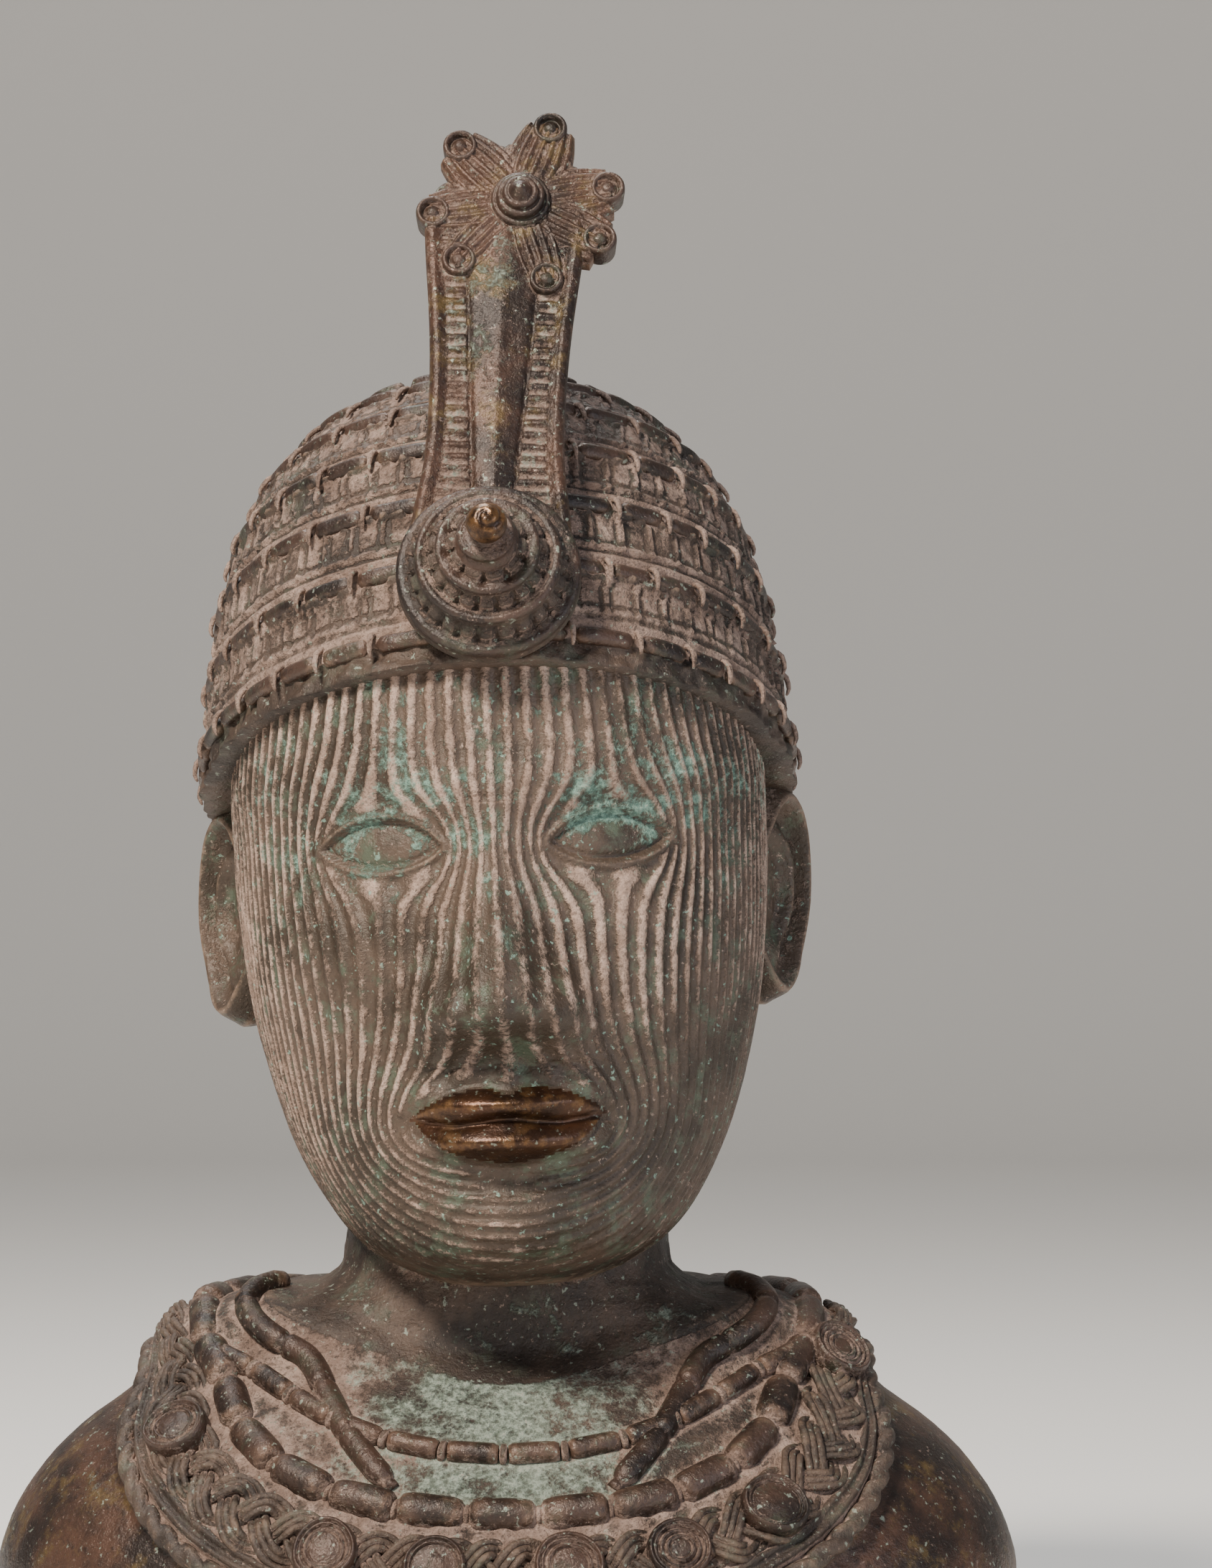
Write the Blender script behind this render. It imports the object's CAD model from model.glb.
"""Looks of a cast bronze bust in a ridged cap with a tall crest and a beaded collar.

The bust stands on z = 0 and faces -Y. Lengths are in metres. Every piece follows the
form of the CAD solid and adds the finer carving of the casting and its patina.
"""

import math
from itertools import product

import bpy
import numpy as np
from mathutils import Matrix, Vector
from mathutils.bvhtree import BVHTree


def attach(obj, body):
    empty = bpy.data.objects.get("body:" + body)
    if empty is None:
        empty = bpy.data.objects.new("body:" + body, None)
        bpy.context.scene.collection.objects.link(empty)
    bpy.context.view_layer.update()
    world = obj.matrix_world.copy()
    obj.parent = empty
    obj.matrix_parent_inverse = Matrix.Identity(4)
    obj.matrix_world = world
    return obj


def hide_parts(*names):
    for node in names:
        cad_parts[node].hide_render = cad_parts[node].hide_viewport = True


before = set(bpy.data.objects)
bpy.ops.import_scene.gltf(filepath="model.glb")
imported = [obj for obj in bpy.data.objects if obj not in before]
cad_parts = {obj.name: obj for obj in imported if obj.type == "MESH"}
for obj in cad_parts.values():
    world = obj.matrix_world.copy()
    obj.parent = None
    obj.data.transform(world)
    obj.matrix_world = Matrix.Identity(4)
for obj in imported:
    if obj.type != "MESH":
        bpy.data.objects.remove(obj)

bl_info = {
    "name": "Cast bronze bust",
    "version": (1, 0, 0),
    "blender": (4, 5, 0),
    "location": "View3D > Sidebar > Bust",
    "description": "Builds a cast bronze bust with its fine carving and its patina",
    "category": "Add Mesh",
}

# Form of the solid, which every piece follows

SHOULDER_HALF_WIDTH = 0.131
CHEST_FRONT = 0.086
CHEST_BACK = 0.070
NECK_FOOT_HEIGHT = 0.113
NECK_HALF_WIDTH = 0.042
NECK_FRONT = 0.036
NECK_BACK = 0.042
NECK_HEIGHT = 0.050
CHEST_SQUARENESS = 2.2

CHIN_HEIGHT = NECK_FOOT_HEIGHT + 0.006
HEAD_HEIGHT = 0.217
HEAD_HALF_WIDTH = 0.0675
HEAD_FRONT = 0.086
HEAD_BACK = 0.090
HEAD_SHIFT = 0.003
HEAD_ROLL = math.radians(2.5)
HEAD_SQUARENESS = 2.25
NOSE_REACH = 0.019
EAR_HEIGHT = 0.058
EAR_WIDTH = 0.034
EAR_THICKNESS = 0.011

CAP_COVER = 0.0085
CAP_TILT = math.radians(20)
CAP_RIM_SHARE = 0.565
CAP_HEIGHT = 0.103
CAP_TAPER = 0.15
CAP_SQUARENESS = 4.5
CAP_ROWS = 7
CAP_RIM_HEIGHT = 0.0022

CREST_LEAN = math.radians(22)
CREST_SWAY = math.radians(2.1)
CREST_SHIFT = 0.0012
CREST_LENGTH = 0.102
CREST_WIDTH = 0.0335
CREST_THICKNESS = 0.014
CREST_FOOT_SHARE = 0.175
CREST_STAND = 0.005
DISC_RADIUS = 0.0218
DISC_THICKNESS = 0.016
DISC_RISE = 0.0062
CONE_HEIGHT = 0.0315
COIL_START = 0.0212
TIP_RADIUS = 0.0050
ROSETTE_SHIFT = 0.0036
ROSETTE_RADIUS = 0.0165
PETAL_ANGLES = (136, 73, 13, -25, -71, -132, -171)
PETAL_WIDTH = 0.0165
PETAL_THICKNESS = 0.0055

COLLAR_THICKNESS = 0.0035
ROPE_RADIUS = 0.0026
BORDER_RADIUS = 0.0023
BORDER_GAP = 0.0080
BEAD_RADIUS = 0.0046
MEDALLION_ANGLES = (-61, -28, -11, 11, 28, 44, 77)

# Height as a share of the neck's foot, then the growth from the neck to the
# shoulders: across, in front and behind.
BODY_STATIONS = (
    (0.000, 0.955, 0.96, 0.93),
    (0.354, 1.000, 1.00, 1.00),
    (0.487, 0.957, 0.90, 0.95),
    (0.602, 0.865, 0.67, 0.86),
    (0.690, 0.750, 0.47, 0.74),
    (0.768, 0.615, 0.26, 0.58),
    (0.850, 0.520, 0.05, 0.42),
    (0.920, 0.430, 0.00, 0.27),
    (0.965, 0.280, 0.00, 0.14),
    (1.000, 0.100, 0.00, 0.05),
    (1.060, 0.000, 0.00, 0.00),
    (1.442, 0.000, 0.00, 0.00),
)
# Share of the head's height, then its half width, front and back.
HEAD_STATIONS = (
    (0.000, 0.42, 0.60, 0.34),
    (0.030, 0.56, 0.84, 0.42),
    (0.075, 0.68, 0.92, 0.48),
    (0.160, 0.82, 0.955, 0.56),
    (0.280, 0.93, 0.965, 0.70),
    (0.400, 0.985, 0.970, 0.87),
    (0.500, 1.000, 0.975, 0.96),
    (0.600, 0.995, 0.990, 1.00),
    (0.700, 0.960, 0.970, 1.00),
    (0.800, 0.860, 0.880, 0.93),
)
# What hangs round the body: its height in front, at the side and behind, and how
# late it rises to the side.
COLLAR_LINE = (0.285, 0.820, 0.584, 1.53)
BEAD_LINE = (0.537, 0.941, 0.938, 1.42)
STRAND_LINE = (0.652, 0.890, 0.890, 1.13)
NECK_LINE = (0.800, 0.985, 0.985, 1.0)

EYE_SHARE = 0.5
BROW_SHARE = 0.565
NOSE_ROOT_SHARE = 0.550
NOSE_BASE_SHARE = 0.283
MOUTH_SHARE = 0.188
CHIN_SHARE = 0.065
EYE_SPREAD = 0.42
EYE_HALF_WIDTH = 0.0150
LIP_HALF_WIDTH = 0.0240


# Shaping


def unit(vectors):
    return vectors / np.maximum(np.linalg.norm(vectors, axis=-1, keepdims=True), 1e-12)


def smooth_step(value):
    value = np.clip(value, 0.0, 1.0)
    return value * value * (3 - 2 * value)


def hump(offset, spread):
    return np.exp(-((offset / spread) ** 2))


LATTICE_SIZE = 32
LATTICE = np.random.default_rng(11).uniform(-1, 1, (LATTICE_SIZE,) * 3)


def ripple(points, size, shift=0.0):
    """Seeded smooth noise from -1 to 1, with lumps of about the given size."""
    cell = np.asarray(points) / size + shift
    base = np.floor(cell).astype(int)
    part = smooth_step(cell - base)
    total = np.zeros(cell.shape[:-1])
    for corner in product((0, 1), repeat=3):
        weight = np.ones(cell.shape[:-1])
        for axis, end in enumerate(corner):
            weight = weight * (part[..., axis] if end else 1 - part[..., axis])
        spot = (base + np.array(corner)) % LATTICE_SIZE
        total += weight * LATTICE[spot[..., 0], spot[..., 1], spot[..., 2]]
    return total


def through(stations, heights):
    """Values at heights on a smooth line through (height, value, ...) stations."""
    table = np.array(stations, float)
    marks = table[:, 0]
    heights = np.clip(heights, marks[0], marks[-1])
    last = len(marks) - 1
    k = np.clip(np.searchsorted(marks, heights, side="right") - 1, 0, last - 1)
    below, above = np.maximum(k - 1, 0), np.minimum(k + 2, last)
    span = (marks[k + 1] - marks[k])[..., None]
    share = (heights[..., None] - marks[k][..., None]) / span
    before, after = table[k, 1:], table[k + 1, 1:]
    slope_low = (after - table[below, 1:]) / (marks[k + 1] - marks[below])[..., None] * span
    slope_high = (table[above, 1:] - before) / (marks[above] - marks[k])[..., None] * span
    square, cube = share**2, share**3
    values = before * (2 * cube - 3 * square + 1) + slope_low * (cube - 2 * square + share)
    values += after * (3 * square - 2 * cube) + slope_high * (cube - square)
    return np.moveaxis(values, -1, 0)


def oval(angle, half, deep, power):
    side, ahead = np.sin(angle), np.cos(angle)
    return (np.abs(side / half) ** power + np.abs(ahead / deep) ** power) ** (-1 / power)


def body_point(angle, height, out=0.0):
    """Points on the shoulders or neck; angle 0 is the front, positive to +X."""
    angle, height, out = np.broadcast_arrays(angle, height, out)
    across, front, behind = through(BODY_STATIONS, height / NECK_FOOT_HEIGHT)
    half = NECK_HALF_WIDTH + across * (SHOULDER_HALF_WIDTH - NECK_HALF_WIDTH)
    fore = NECK_FRONT + front * (CHEST_FRONT - NECK_FRONT)
    back = NECK_BACK + behind * (CHEST_BACK - NECK_BACK)
    size = oval(angle, half, np.where(np.cos(angle) > 0, fore, back), CHEST_SQUARENESS)
    spot = np.stack([np.sin(angle) * size, -np.cos(angle) * size, height], -1)
    if np.any(out):
        spot = spot + body_normal(angle, height) * out[..., None]
    return spot


# How far to either side a slope is measured, as an angle and as a height.
ANGLE_STEP = 0.02
HEIGHT_STEP = 0.002


def body_rise(angle, height):
    return body_point(angle, height + HEIGHT_STEP) - body_point(angle, height - HEIGHT_STEP)


def body_normal(angle, height):
    turn = body_point(angle + ANGLE_STEP, height) - body_point(angle - ANGLE_STEP, height)
    return unit(np.cross(turn, body_rise(angle, height)))


def body_fall(angle, height):
    """How much of a step up along the surface goes into height, 1 on an upright wall."""
    return 2 * HEIGHT_STEP / np.linalg.norm(body_rise(angle, height), axis=-1)


def hung_height(line, angle):
    """Height of a hung line at an angle: lowest in front, level on the shoulders."""
    front, side, back, delay = line
    ahead = np.cos(angle)
    share = np.clip(1 - ahead, 0, 1) ** delay
    fore = front + (side - front) * (1.5 * share - 0.5 * share**3)
    return np.where(ahead >= 0, fore, side + (back - side) * ahead**2) * NECK_FOOT_HEIGHT


def bead_height(angle):
    return hung_height(BEAD_LINE, angle)


def strand_height(angle):
    return hung_height(STRAND_LINE, angle)


def collar_height(angle):
    """Height of the cape's lower edge, which leaves room below the beads."""
    beads = bead_height(angle)
    room = (BEAD_RADIUS + BORDER_GAP) * body_fall(angle, beads)
    return np.minimum(hung_height(COLLAR_LINE, angle), beads - room)


def plait_band(angle):
    """Middle height and half height of the band between the beads and the border."""
    low, high = collar_height(angle), bead_height(angle)
    fall = body_fall(angle, (low + high) / 2)
    low = low + (BORDER_GAP + BORDER_RADIUS) * fall
    high = high - BEAD_RADIUS * fall
    return (high + low) / 2, (high - low) / 2


def place_on_head(points):
    """Rolls points of the upright head and sets them over the neck."""
    c, s = math.cos(-HEAD_ROLL), math.sin(-HEAD_ROLL)
    x, z = points[..., 0], points[..., 2] - CHIN_HEIGHT
    return np.stack([x * c + z * s + HEAD_SHIFT, points[..., 1], z * c - x * s + CHIN_HEIGHT], -1)


def face_relief(x, share):
    """How far calm, evenly proportioned features stand off the head's oval."""
    side = np.abs(x) / HEAD_HALF_WIDTH
    rise = 0.033 * hump(share - BROW_SHARE, 0.035) * hump(side, 0.72)
    rise = rise - 0.096 * hump(side - EYE_SPREAD, 0.23) * hump(share - EYE_SHARE - 0.005, 0.050)
    rise += 0.074 * hump(side - EYE_SPREAD, 0.17) * hump(share - EYE_SHARE, 0.030)
    rise += 0.044 * hump(side - 0.55, 0.26) * hump(share - 0.37, 0.085)
    rise += 0.081 * hump(side, 0.40) * hump(share - MOUTH_SHARE, 0.080)
    lips = np.maximum(0.0, 1 - (side / 0.36) ** 2)
    rise += 0.074 * lips * hump(share - MOUTH_SHARE - 0.020, 0.016)
    rise += 0.081 * lips * hump(share - MOUTH_SHARE + 0.024, 0.018)
    rise -= 0.039 * hump(side, 0.30) * hump(share - 0.123, 0.020)
    rise += 0.067 * hump(side, 0.26) * hump(share - CHIN_SHARE, 0.045)
    return rise * HEAD_HALF_WIDTH + nose_relief(side, share)


def nose_relief(side, share):
    along = (share - NOSE_BASE_SHARE) / (NOSE_ROOT_SHARE - NOSE_BASE_SHARE)
    tip = smooth_step((along + 0.12) / 0.24)
    bridge = 1 - 0.82 * smooth_step((along - 0.12) / 0.88)
    ridge = np.where(along < 0.12, tip, bridge)
    width = 0.115 + 0.060 * smooth_step(1 - along * 1.6)
    wing = 0.45 * hump(side - 0.20, 0.10) * hump(along - 0.10, 0.18)
    rise = NOSE_REACH * (ridge * hump(side, width) + wing)
    return np.where((along > -0.12) & (along < 1), rise, 0.0)


def head_point(angle, share, lift=0.0, shrink=1.0, drop=0.0):
    across, front, behind = through(HEAD_STATIONS, share)
    half = across * HEAD_HALF_WIDTH
    ahead = np.cos(angle)
    deep = np.where(ahead > 0, front * HEAD_FRONT, behind * HEAD_BACK)
    size = oval(angle, half, deep, HEAD_SQUARENESS)
    soft = np.where(ahead > 0, smooth_step(ahead * 2.5), 0.0)
    size = (size + face_relief(np.sin(angle) * size, share) * soft + lift) * shrink
    height = CHIN_HEIGHT + share * HEAD_HEIGHT - drop
    return place_on_head(np.stack([np.sin(angle) * size, -ahead * size, height], -1))


def cap_point(angle, share, out=0.0):
    """Points on the cap's dome; share 0 is the rim's plane and 1 the crown."""
    angle, share, out = np.broadcast_arrays(angle, share, out)
    fullness = np.sqrt(np.maximum(0, 1 - np.maximum(share, 0) ** CAP_SQUARENESS))
    fullness = (1 - CAP_TAPER * share) * fullness
    across = (HEAD_HALF_WIDTH + CAP_COVER) * fullness + out
    deep = ((HEAD_FRONT + HEAD_BACK) / 2 + CAP_COVER) * fullness + out
    rise, run = share * CAP_HEIGHT, np.cos(angle) * deep
    c, s = math.cos(CAP_TILT), math.sin(CAP_TILT)
    middle_y = (HEAD_BACK - HEAD_FRONT) / 2
    middle_z = CHIN_HEIGHT + CAP_RIM_SHARE * HEAD_HEIGHT
    x = np.sin(angle) * across
    y, z = middle_y + rise * s - run * c, middle_z + rise * c + run * s
    return place_on_head(np.stack([x, y, z], -1))


def row_share(row):
    """Where a row of beads lies on the dome, the rows closing up towards the crown."""
    return 0.05 + 0.89 * math.sin(math.pi / 2 * (row / CAP_ROWS) * 0.94)


def crest_axes():
    """Across, up and outward directions of the crest, and the middle of its disc."""
    up = unit(np.array([math.sin(CREST_SWAY), math.sin(CREST_LEAN), math.cos(CREST_LEAN)]))
    out = np.array([0, -math.cos(CREST_LEAN), math.sin(CREST_LEAN)])
    across = unit(np.cross(up, out))
    out = unit(np.cross(across, up))
    spot = cap_point(0.0, CREST_FOOT_SHARE) + out * CREST_STAND + across * CREST_SHIFT
    return np.array([across, up, out]), spot


def run_along(points):
    """Distance of each point from the first, along their line."""
    return np.concatenate([[0], np.cumsum(np.linalg.norm(np.diff(points, axis=0), axis=1))])


def full_turn(count):
    return np.linspace(0, math.tau, count, endpoint=False)


def uneven(form, size, depth, away, shift=0.0):
    """The form with its skin moved in and out by noise with lumps of a size."""
    return form + (ripple(form, size, shift) * depth)[..., None] * away


# Meshes


def tube(path, radii, away, sides=8, looped=False):
    """Rings of a round bar along a path; radii are per point or per ring corner."""
    path, away = np.asarray(path), np.asarray(away)
    if looped:
        along = unit(np.roll(path, -1, 0) - np.roll(path, 1, 0))
    else:
        along = unit(np.gradient(path, axis=0))
    out = unit(away - along * np.sum(away * along, -1, keepdims=True))
    across = np.cross(along, out)
    turn = full_turn(sides)
    radii = np.broadcast_to(np.asarray(radii, float).reshape(len(path), -1), (len(path), sides))
    spokes = out[:, None] * np.cos(turn)[:, None] + across[:, None] * np.sin(turn)[:, None]
    return path[:, None] + spokes * radii[..., None]


def turned(profile, sides, axes, origin, lift=None):
    """Rings of a body turned about the third axis from (radius, height) points."""
    profile = np.array(profile, float)
    turn = full_turn(sides)
    slope = unit(np.gradient(profile, axis=0))
    radius = np.repeat(profile[:, :1], sides, axis=1)
    height = np.repeat(profile[:, 1:], sides, axis=1)
    if lift is not None:
        rise = lift(radius, height, turn[None])
        radius = radius - slope[:, 1:] * -rise
        height = height - slope[:, :1] * rise
    local = np.stack([radius * np.cos(turn), radius * np.sin(turn), height], -1)
    return origin + local @ axes


def fine(profile, step):
    """The same (radius, height) line with points at most a step apart."""
    profile = np.array(profile, float)
    lengths = run_along(profile)
    count = max(2, math.ceil(lengths[-1] / step))
    stations = np.column_stack([lengths, profile])
    return through(stations, np.linspace(0, lengths[-1], count)).T


class Piece:
    """Gathers closed forms, with the marks that the patina reads, into one object."""

    def __init__(self, name, surfaces):
        self.name, self.surfaces = name, surfaces
        self.points, self.quads, self.ends, self.paint = [], [], [], []
        self.quad_surface, self.end_surface = [], []
        self.count = 0

    def add(self, points, surface=0, earth=0.0, green=0.0, rub=0.0, looped=False):
        """One closed form through rows of points, closed at both ends or looped."""
        rows, count = points.shape[:2]
        index = np.arange(rows * count).reshape(rows, count)
        after = np.roll(index, -1, axis=1)
        if looped:
            low, low_next = index, after
            high, high_next = np.roll(index, -1, axis=0), np.roll(after, -1, axis=0)
            ends = []
        else:
            low, low_next, high, high_next = index[:-1], after[:-1], index[1:], after[1:]
            ends = [index[0][::-1], index[-1]]
        quads = np.stack([low, low_next, high_next, high], -1).reshape(-1, 4)
        flat = points.reshape(-1, 3)
        centred = flat - flat.mean(0)
        a, b, c, d = (centred[quads[:, i]] for i in range(4))
        volume = np.sum(np.cross(b, c) * a) + np.sum(np.cross(c, d) * a)
        for end in ends:
            rim = centred[end]
            volume += np.sum(np.cross(rim, np.roll(rim, -1, 0)) * rim.mean(0))
        if volume < 0:
            quads = quads[:, ::-1]
            ends = [end[::-1] for end in ends]
        marks = np.zeros((rows, count, 4))
        marks[..., 0], marks[..., 1], marks[..., 2] = earth, green, rub
        self.points.append(flat)
        self.paint.append(marks.reshape(-1, 4))
        self.quads.append(quads + self.count)
        patches = np.broadcast_to(surface, (len(low), count)).ravel()
        self.quad_surface.append(patches)
        self.ends += [end + self.count for end in ends]
        self.end_surface += [patches[0]] * len(ends)
        self.count += len(flat)

    def finish(self):
        """The object, riding on the casting and standing for its solid."""
        points, quads = np.concatenate(self.points), np.concatenate(self.quads)
        corners = np.concatenate([quads.ravel()] + self.ends)
        totals = np.concatenate([np.full(len(quads), 4), [len(end) for end in self.ends]])
        mesh = bpy.data.meshes.new(self.name)
        mesh.vertices.add(len(points))
        mesh.vertices.foreach_set("co", points.astype(np.float32).ravel())
        mesh.loops.add(len(corners))
        mesh.loops.foreach_set("vertex_index", corners.astype(np.int32))
        mesh.polygons.add(len(totals))
        starts = np.concatenate([[0], np.cumsum(totals)[:-1]])
        mesh.polygons.foreach_set("loop_start", starts.astype(np.int32))
        for surface in self.surfaces:
            mesh.materials.append(surface)
        surfaces = np.concatenate(self.quad_surface + [np.array(self.end_surface)])
        mesh.polygons.foreach_set("material_index", surfaces.astype(np.int32))
        mesh.polygons.foreach_set("use_smooth", np.ones(len(totals), bool))
        mesh.update(calc_edges=True)
        if mesh.validate():
            raise RuntimeError(f"{self.name} had faces that aren't valid")
        layer = mesh.attributes.new("paint", "FLOAT_COLOR", "POINT")
        layer.data.foreach_set("color", np.concatenate(self.paint).astype(np.float32).ravel())
        piece = bpy.data.objects.new(self.name, mesh)
        bpy.context.scene.collection.objects.link(piece)
        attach(piece, "root")
        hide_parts("bust")
        return piece


def spread(height_at, spacing, limit):
    """Angles at equal distances along a hung line, at its beads' ends."""
    angles = np.linspace(-limit, limit, 1441)
    lengths = run_along(body_point(angles, height_at(angles)))
    count = round(lengths[-1] / spacing)
    return np.interp(np.linspace(0, lengths[-1], count + 1), lengths, angles)


def cap_turns(shares):
    """Angles round the cap at equal shares of its girth, from the front towards +X."""
    angles = np.linspace(0, math.tau, 721)
    lengths = run_along(cap_point(angles, 0.2))
    return np.interp(np.asarray(shares) % 1.0, lengths / lengths[-1], angles)


# Surfaces


def linear(code):
    """A colour written as sRGB hex, in the linear values that shaders take."""
    values = [int(code[i : i + 2], 16) / 255 for i in (1, 3, 5)]
    return tuple(v / 12.92 if v <= 0.04045 else ((v + 0.055) / 1.055) ** 2.4 for v in values) + (1,)


def add_node(tree, kind, inputs=None, **settings):
    """Adds a node, sets or links its inputs and gives back its outputs."""
    node = tree.nodes.new(kind)
    for name, value in settings.items():
        setattr(node, name, value)
    for name, value in (inputs or {}).items():
        if isinstance(value, bpy.types.NodeSocket):
            tree.links.new(value, node.inputs[name])
        else:
            node.inputs[name].default_value = value
    return node.outputs


# Each field of noise: the size of its lumps in metres, its detail and roughness, and
# its place in the noise. Real grit is finer than the grain, which is drawn as coarse
# as it needs to show.
FIELDS = {
    "broad": (0.0300, 5.0, 0.65, 3.1),
    "patchy": (0.0100, 6.0, 0.70, 7.7),
    "small": (0.0032, 5.0, 0.70, 1.3),
    "grain": (0.0009, 3.0, 0.60, 0.0),
    "speck": (0.0016, 4.0, 0.75, 5.9),
    "fleck": (0.0020, 3.0, 0.60, 9.3),
}
CRUST_ROUGHNESS = 0.90
GRIT_DEPTH = 0.0008


def patina(name, browns, earths, greens, roughness, soil, verdigris, metal, grit=1.0):
    """Aged bronze: browns, rubbed high places, gritty dirt in the hollows and verdigris."""
    material = bpy.data.materials.new(name)
    material.use_nodes = True
    tree = material.node_tree
    tree.nodes.clear()
    place = add_node(tree, "ShaderNodeTexCoord")["Object"]
    shape = add_node(tree, "ShaderNodeAttribute", attribute_name="shape")["Color"]
    paint = add_node(tree, "ShaderNodeAttribute", attribute_name="paint")["Color"]
    shape = add_node(tree, "ShaderNodeSeparateColor", {"Color": shape})
    paint = add_node(tree, "ShaderNodeSeparateColor", {"Color": paint})
    fields = {
        "raised": shape["Red"], "hollow": shape["Green"],
        "dirt": paint["Red"], "corrosion": paint["Green"], "touch": paint["Blue"],
    }
    for field, (size, detail, rough, offset) in FIELDS.items():
        inputs = {0: place, 1: (offset,) * 3}
        moved = add_node(tree, "ShaderNodeVectorMath", inputs, operation="ADD")[0]
        inputs = {"Vector": moved, "Scale": 1 / size, "Detail": detail, "Roughness": rough}
        fields[field] = add_node(tree, "ShaderNodeTexNoise", inputs)[0]

    # Where the skin is rubbed, soiled and corroded: plain fields by their weights, then
    # noise by its weights, which half their sum brings from about 0.5 back to 0.
    for result, plain, noisy in (
        ("rubbed", {"raised": 1.0, "touch": 1.0}, {"patchy": 0.5, "small": 0.9}),
        ("settled", {"hollow": soil, "dirt": 1.0}, {"small": 1.1, "broad": 0.5, "grain": 0.7}),
        ("bloom", {"patchy": 0.8, "corrosion": 1.0}, {"small": 0.9, "grain": 0.35}),
    ):
        value = -sum(noisy.values()) / 2
        for field, weight in {**plain, **noisy}.items():
            inputs = {0: fields[field], 1: weight, 2: value}
            value = add_node(tree, "ShaderNodeMath", inputs, operation="MULTIPLY_ADD")[0]
        fields[result] = value

    # Layer on layer: the field, where it starts to show and where it is full, how much
    # then covers, the colour below, the colour above and the name of what comes out.
    hues = ("dark", "mid", "worn", "tint", "earth", "dry earth", "deep earth", "green", "pale green")
    colours = dict(zip(hues, browns + earths + greens))
    shares = {}
    for field, low, high, top, below, above, result in (
        ("broad", 0.38, 0.62, 1.00, "dark", "mid", "skin"),
        ("patchy", 0.50, 0.66, 0.75, "skin", "tint", "skin"),
        ("small", 0.50, 0.70, 0.70, "skin", "dark", "skin"),
        ("rubbed", 0.60, 1.05, 0.85, "skin", "worn", "skin"),
        ("patchy", 0.35, 0.70, 1.00, "earth", "dry earth", "soil"),
        ("grain", 0.50, 0.66, 0.65, "soil", "deep earth", "soil"),
        ("settled", 0.26, 0.60, 0.95, "skin", "soil", "skin"),
        ("speck", 0.38, 0.64, 1.00, "green", "pale green", "verdigris"),
        ("bloom", 0.72 - verdigris, 0.98 - verdigris, 0.88, "skin", "verdigris", "skin"),
        ("speck", 0.61, 0.69, 0.45, "skin", "dry earth", "skin"),
        ("fleck", 0.63, 0.70, 0.50 + verdigris, "skin", "pale green", "skin"),
        ("speck", 0.40, 0.32, 0.55, "skin", "dark", "skin"),
    ):
        inputs = {"Value": fields[field], "From Min": low, "From Max": high, "To Max": top}
        share = add_node(tree, "ShaderNodeMapRange", inputs, interpolation_type="SMOOTHSTEP")[0]
        inputs = {0: share, 6: colours[below], 7: colours[above]}
        colours[result] = add_node(tree, "ShaderNodeMix", inputs, data_type="RGBA")[2]
        shares[field] = share

    inputs = {0: shares["settled"], 1: shares["bloom"]}
    crust = add_node(tree, "ShaderNodeMath", inputs, operation="MAXIMUM")[0]
    inputs = {"Value": crust, "To Min": roughness, "To Max": CRUST_ROUGHNESS}
    shine = add_node(tree, "ShaderNodeMapRange", inputs)[0]
    inputs = {0: fields["grain"], 1: 0.14, 2: shine}
    shine = add_node(tree, "ShaderNodeMath", inputs, operation="MULTIPLY_ADD")[0]
    inputs = {0: crust, 1: -metal, 2: metal}
    bare = add_node(tree, "ShaderNodeMath", inputs, operation="MULTIPLY_ADD")[0]
    inputs = {0: crust, 1: fields["speck"]}
    height = add_node(tree, "ShaderNodeMath", inputs, operation="MULTIPLY")[0]
    for field, weight in (("small", 0.60), ("grain", 0.28)):
        inputs = {0: fields[field], 1: weight, 2: height}
        height = add_node(tree, "ShaderNodeMath", inputs, operation="MULTIPLY_ADD")[0]
    inputs = {"Strength": 1.0, "Distance": GRIT_DEPTH * grit, "Height": height}
    bump = add_node(tree, "ShaderNodeBump", inputs)[0]
    inputs = {"Base Color": colours["skin"], "Roughness": shine, "Metallic": bare, "Normal": bump}
    shader = add_node(tree, "ShaderNodeBsdfPrincipled", inputs)[0]
    add_node(tree, "ShaderNodeOutputMaterial", {"Surface": shader})
    return material


def palette(*codes):
    return tuple(linear(code) for code in codes)


def buried(settings):
    """The earth and the dull corrosion that all but the face share."""
    earths = (tuple(settings.earth), tuple(settings.dry_earth), tuple(settings.deep_earth))
    return earths, (tuple(settings.corrosion), tuple(settings.pale_corrosion))


def smooth_bronze(settings):
    # Bare cast skin: dark red-brown, softly glossy, with scattered pale specks.
    browns = palette("#221813", "#4d362a", "#7c5e48", "#5e4c2c")
    return patina("smooth brown bronze", browns, *buried(settings),
                  roughness=0.34, soil=0.45, verdigris=0.05, metal=0.35)


def soiled_bronze(settings):
    # Low relief full of pinkish burial earth, with brown only on its high places.
    browns = palette("#2a211b", "#4d3e34", "#745f4f", "#46463a")
    return patina("earth-crusted bronze", browns, *buried(settings),
                  roughness=0.50, soil=0.80, verdigris=0.05, metal=0.15, grit=1.6)


def bead_bronze(settings):
    # Rounded beads that hands have kept dark and glossy.
    browns = palette("#1f1713", "#46342b", "#785f4f", "#3c3d31")
    return patina("glossy bead bronze", browns, *buried(settings),
                  roughness=0.34, soil=0.60, verdigris=0.08, metal=0.28)


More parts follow.
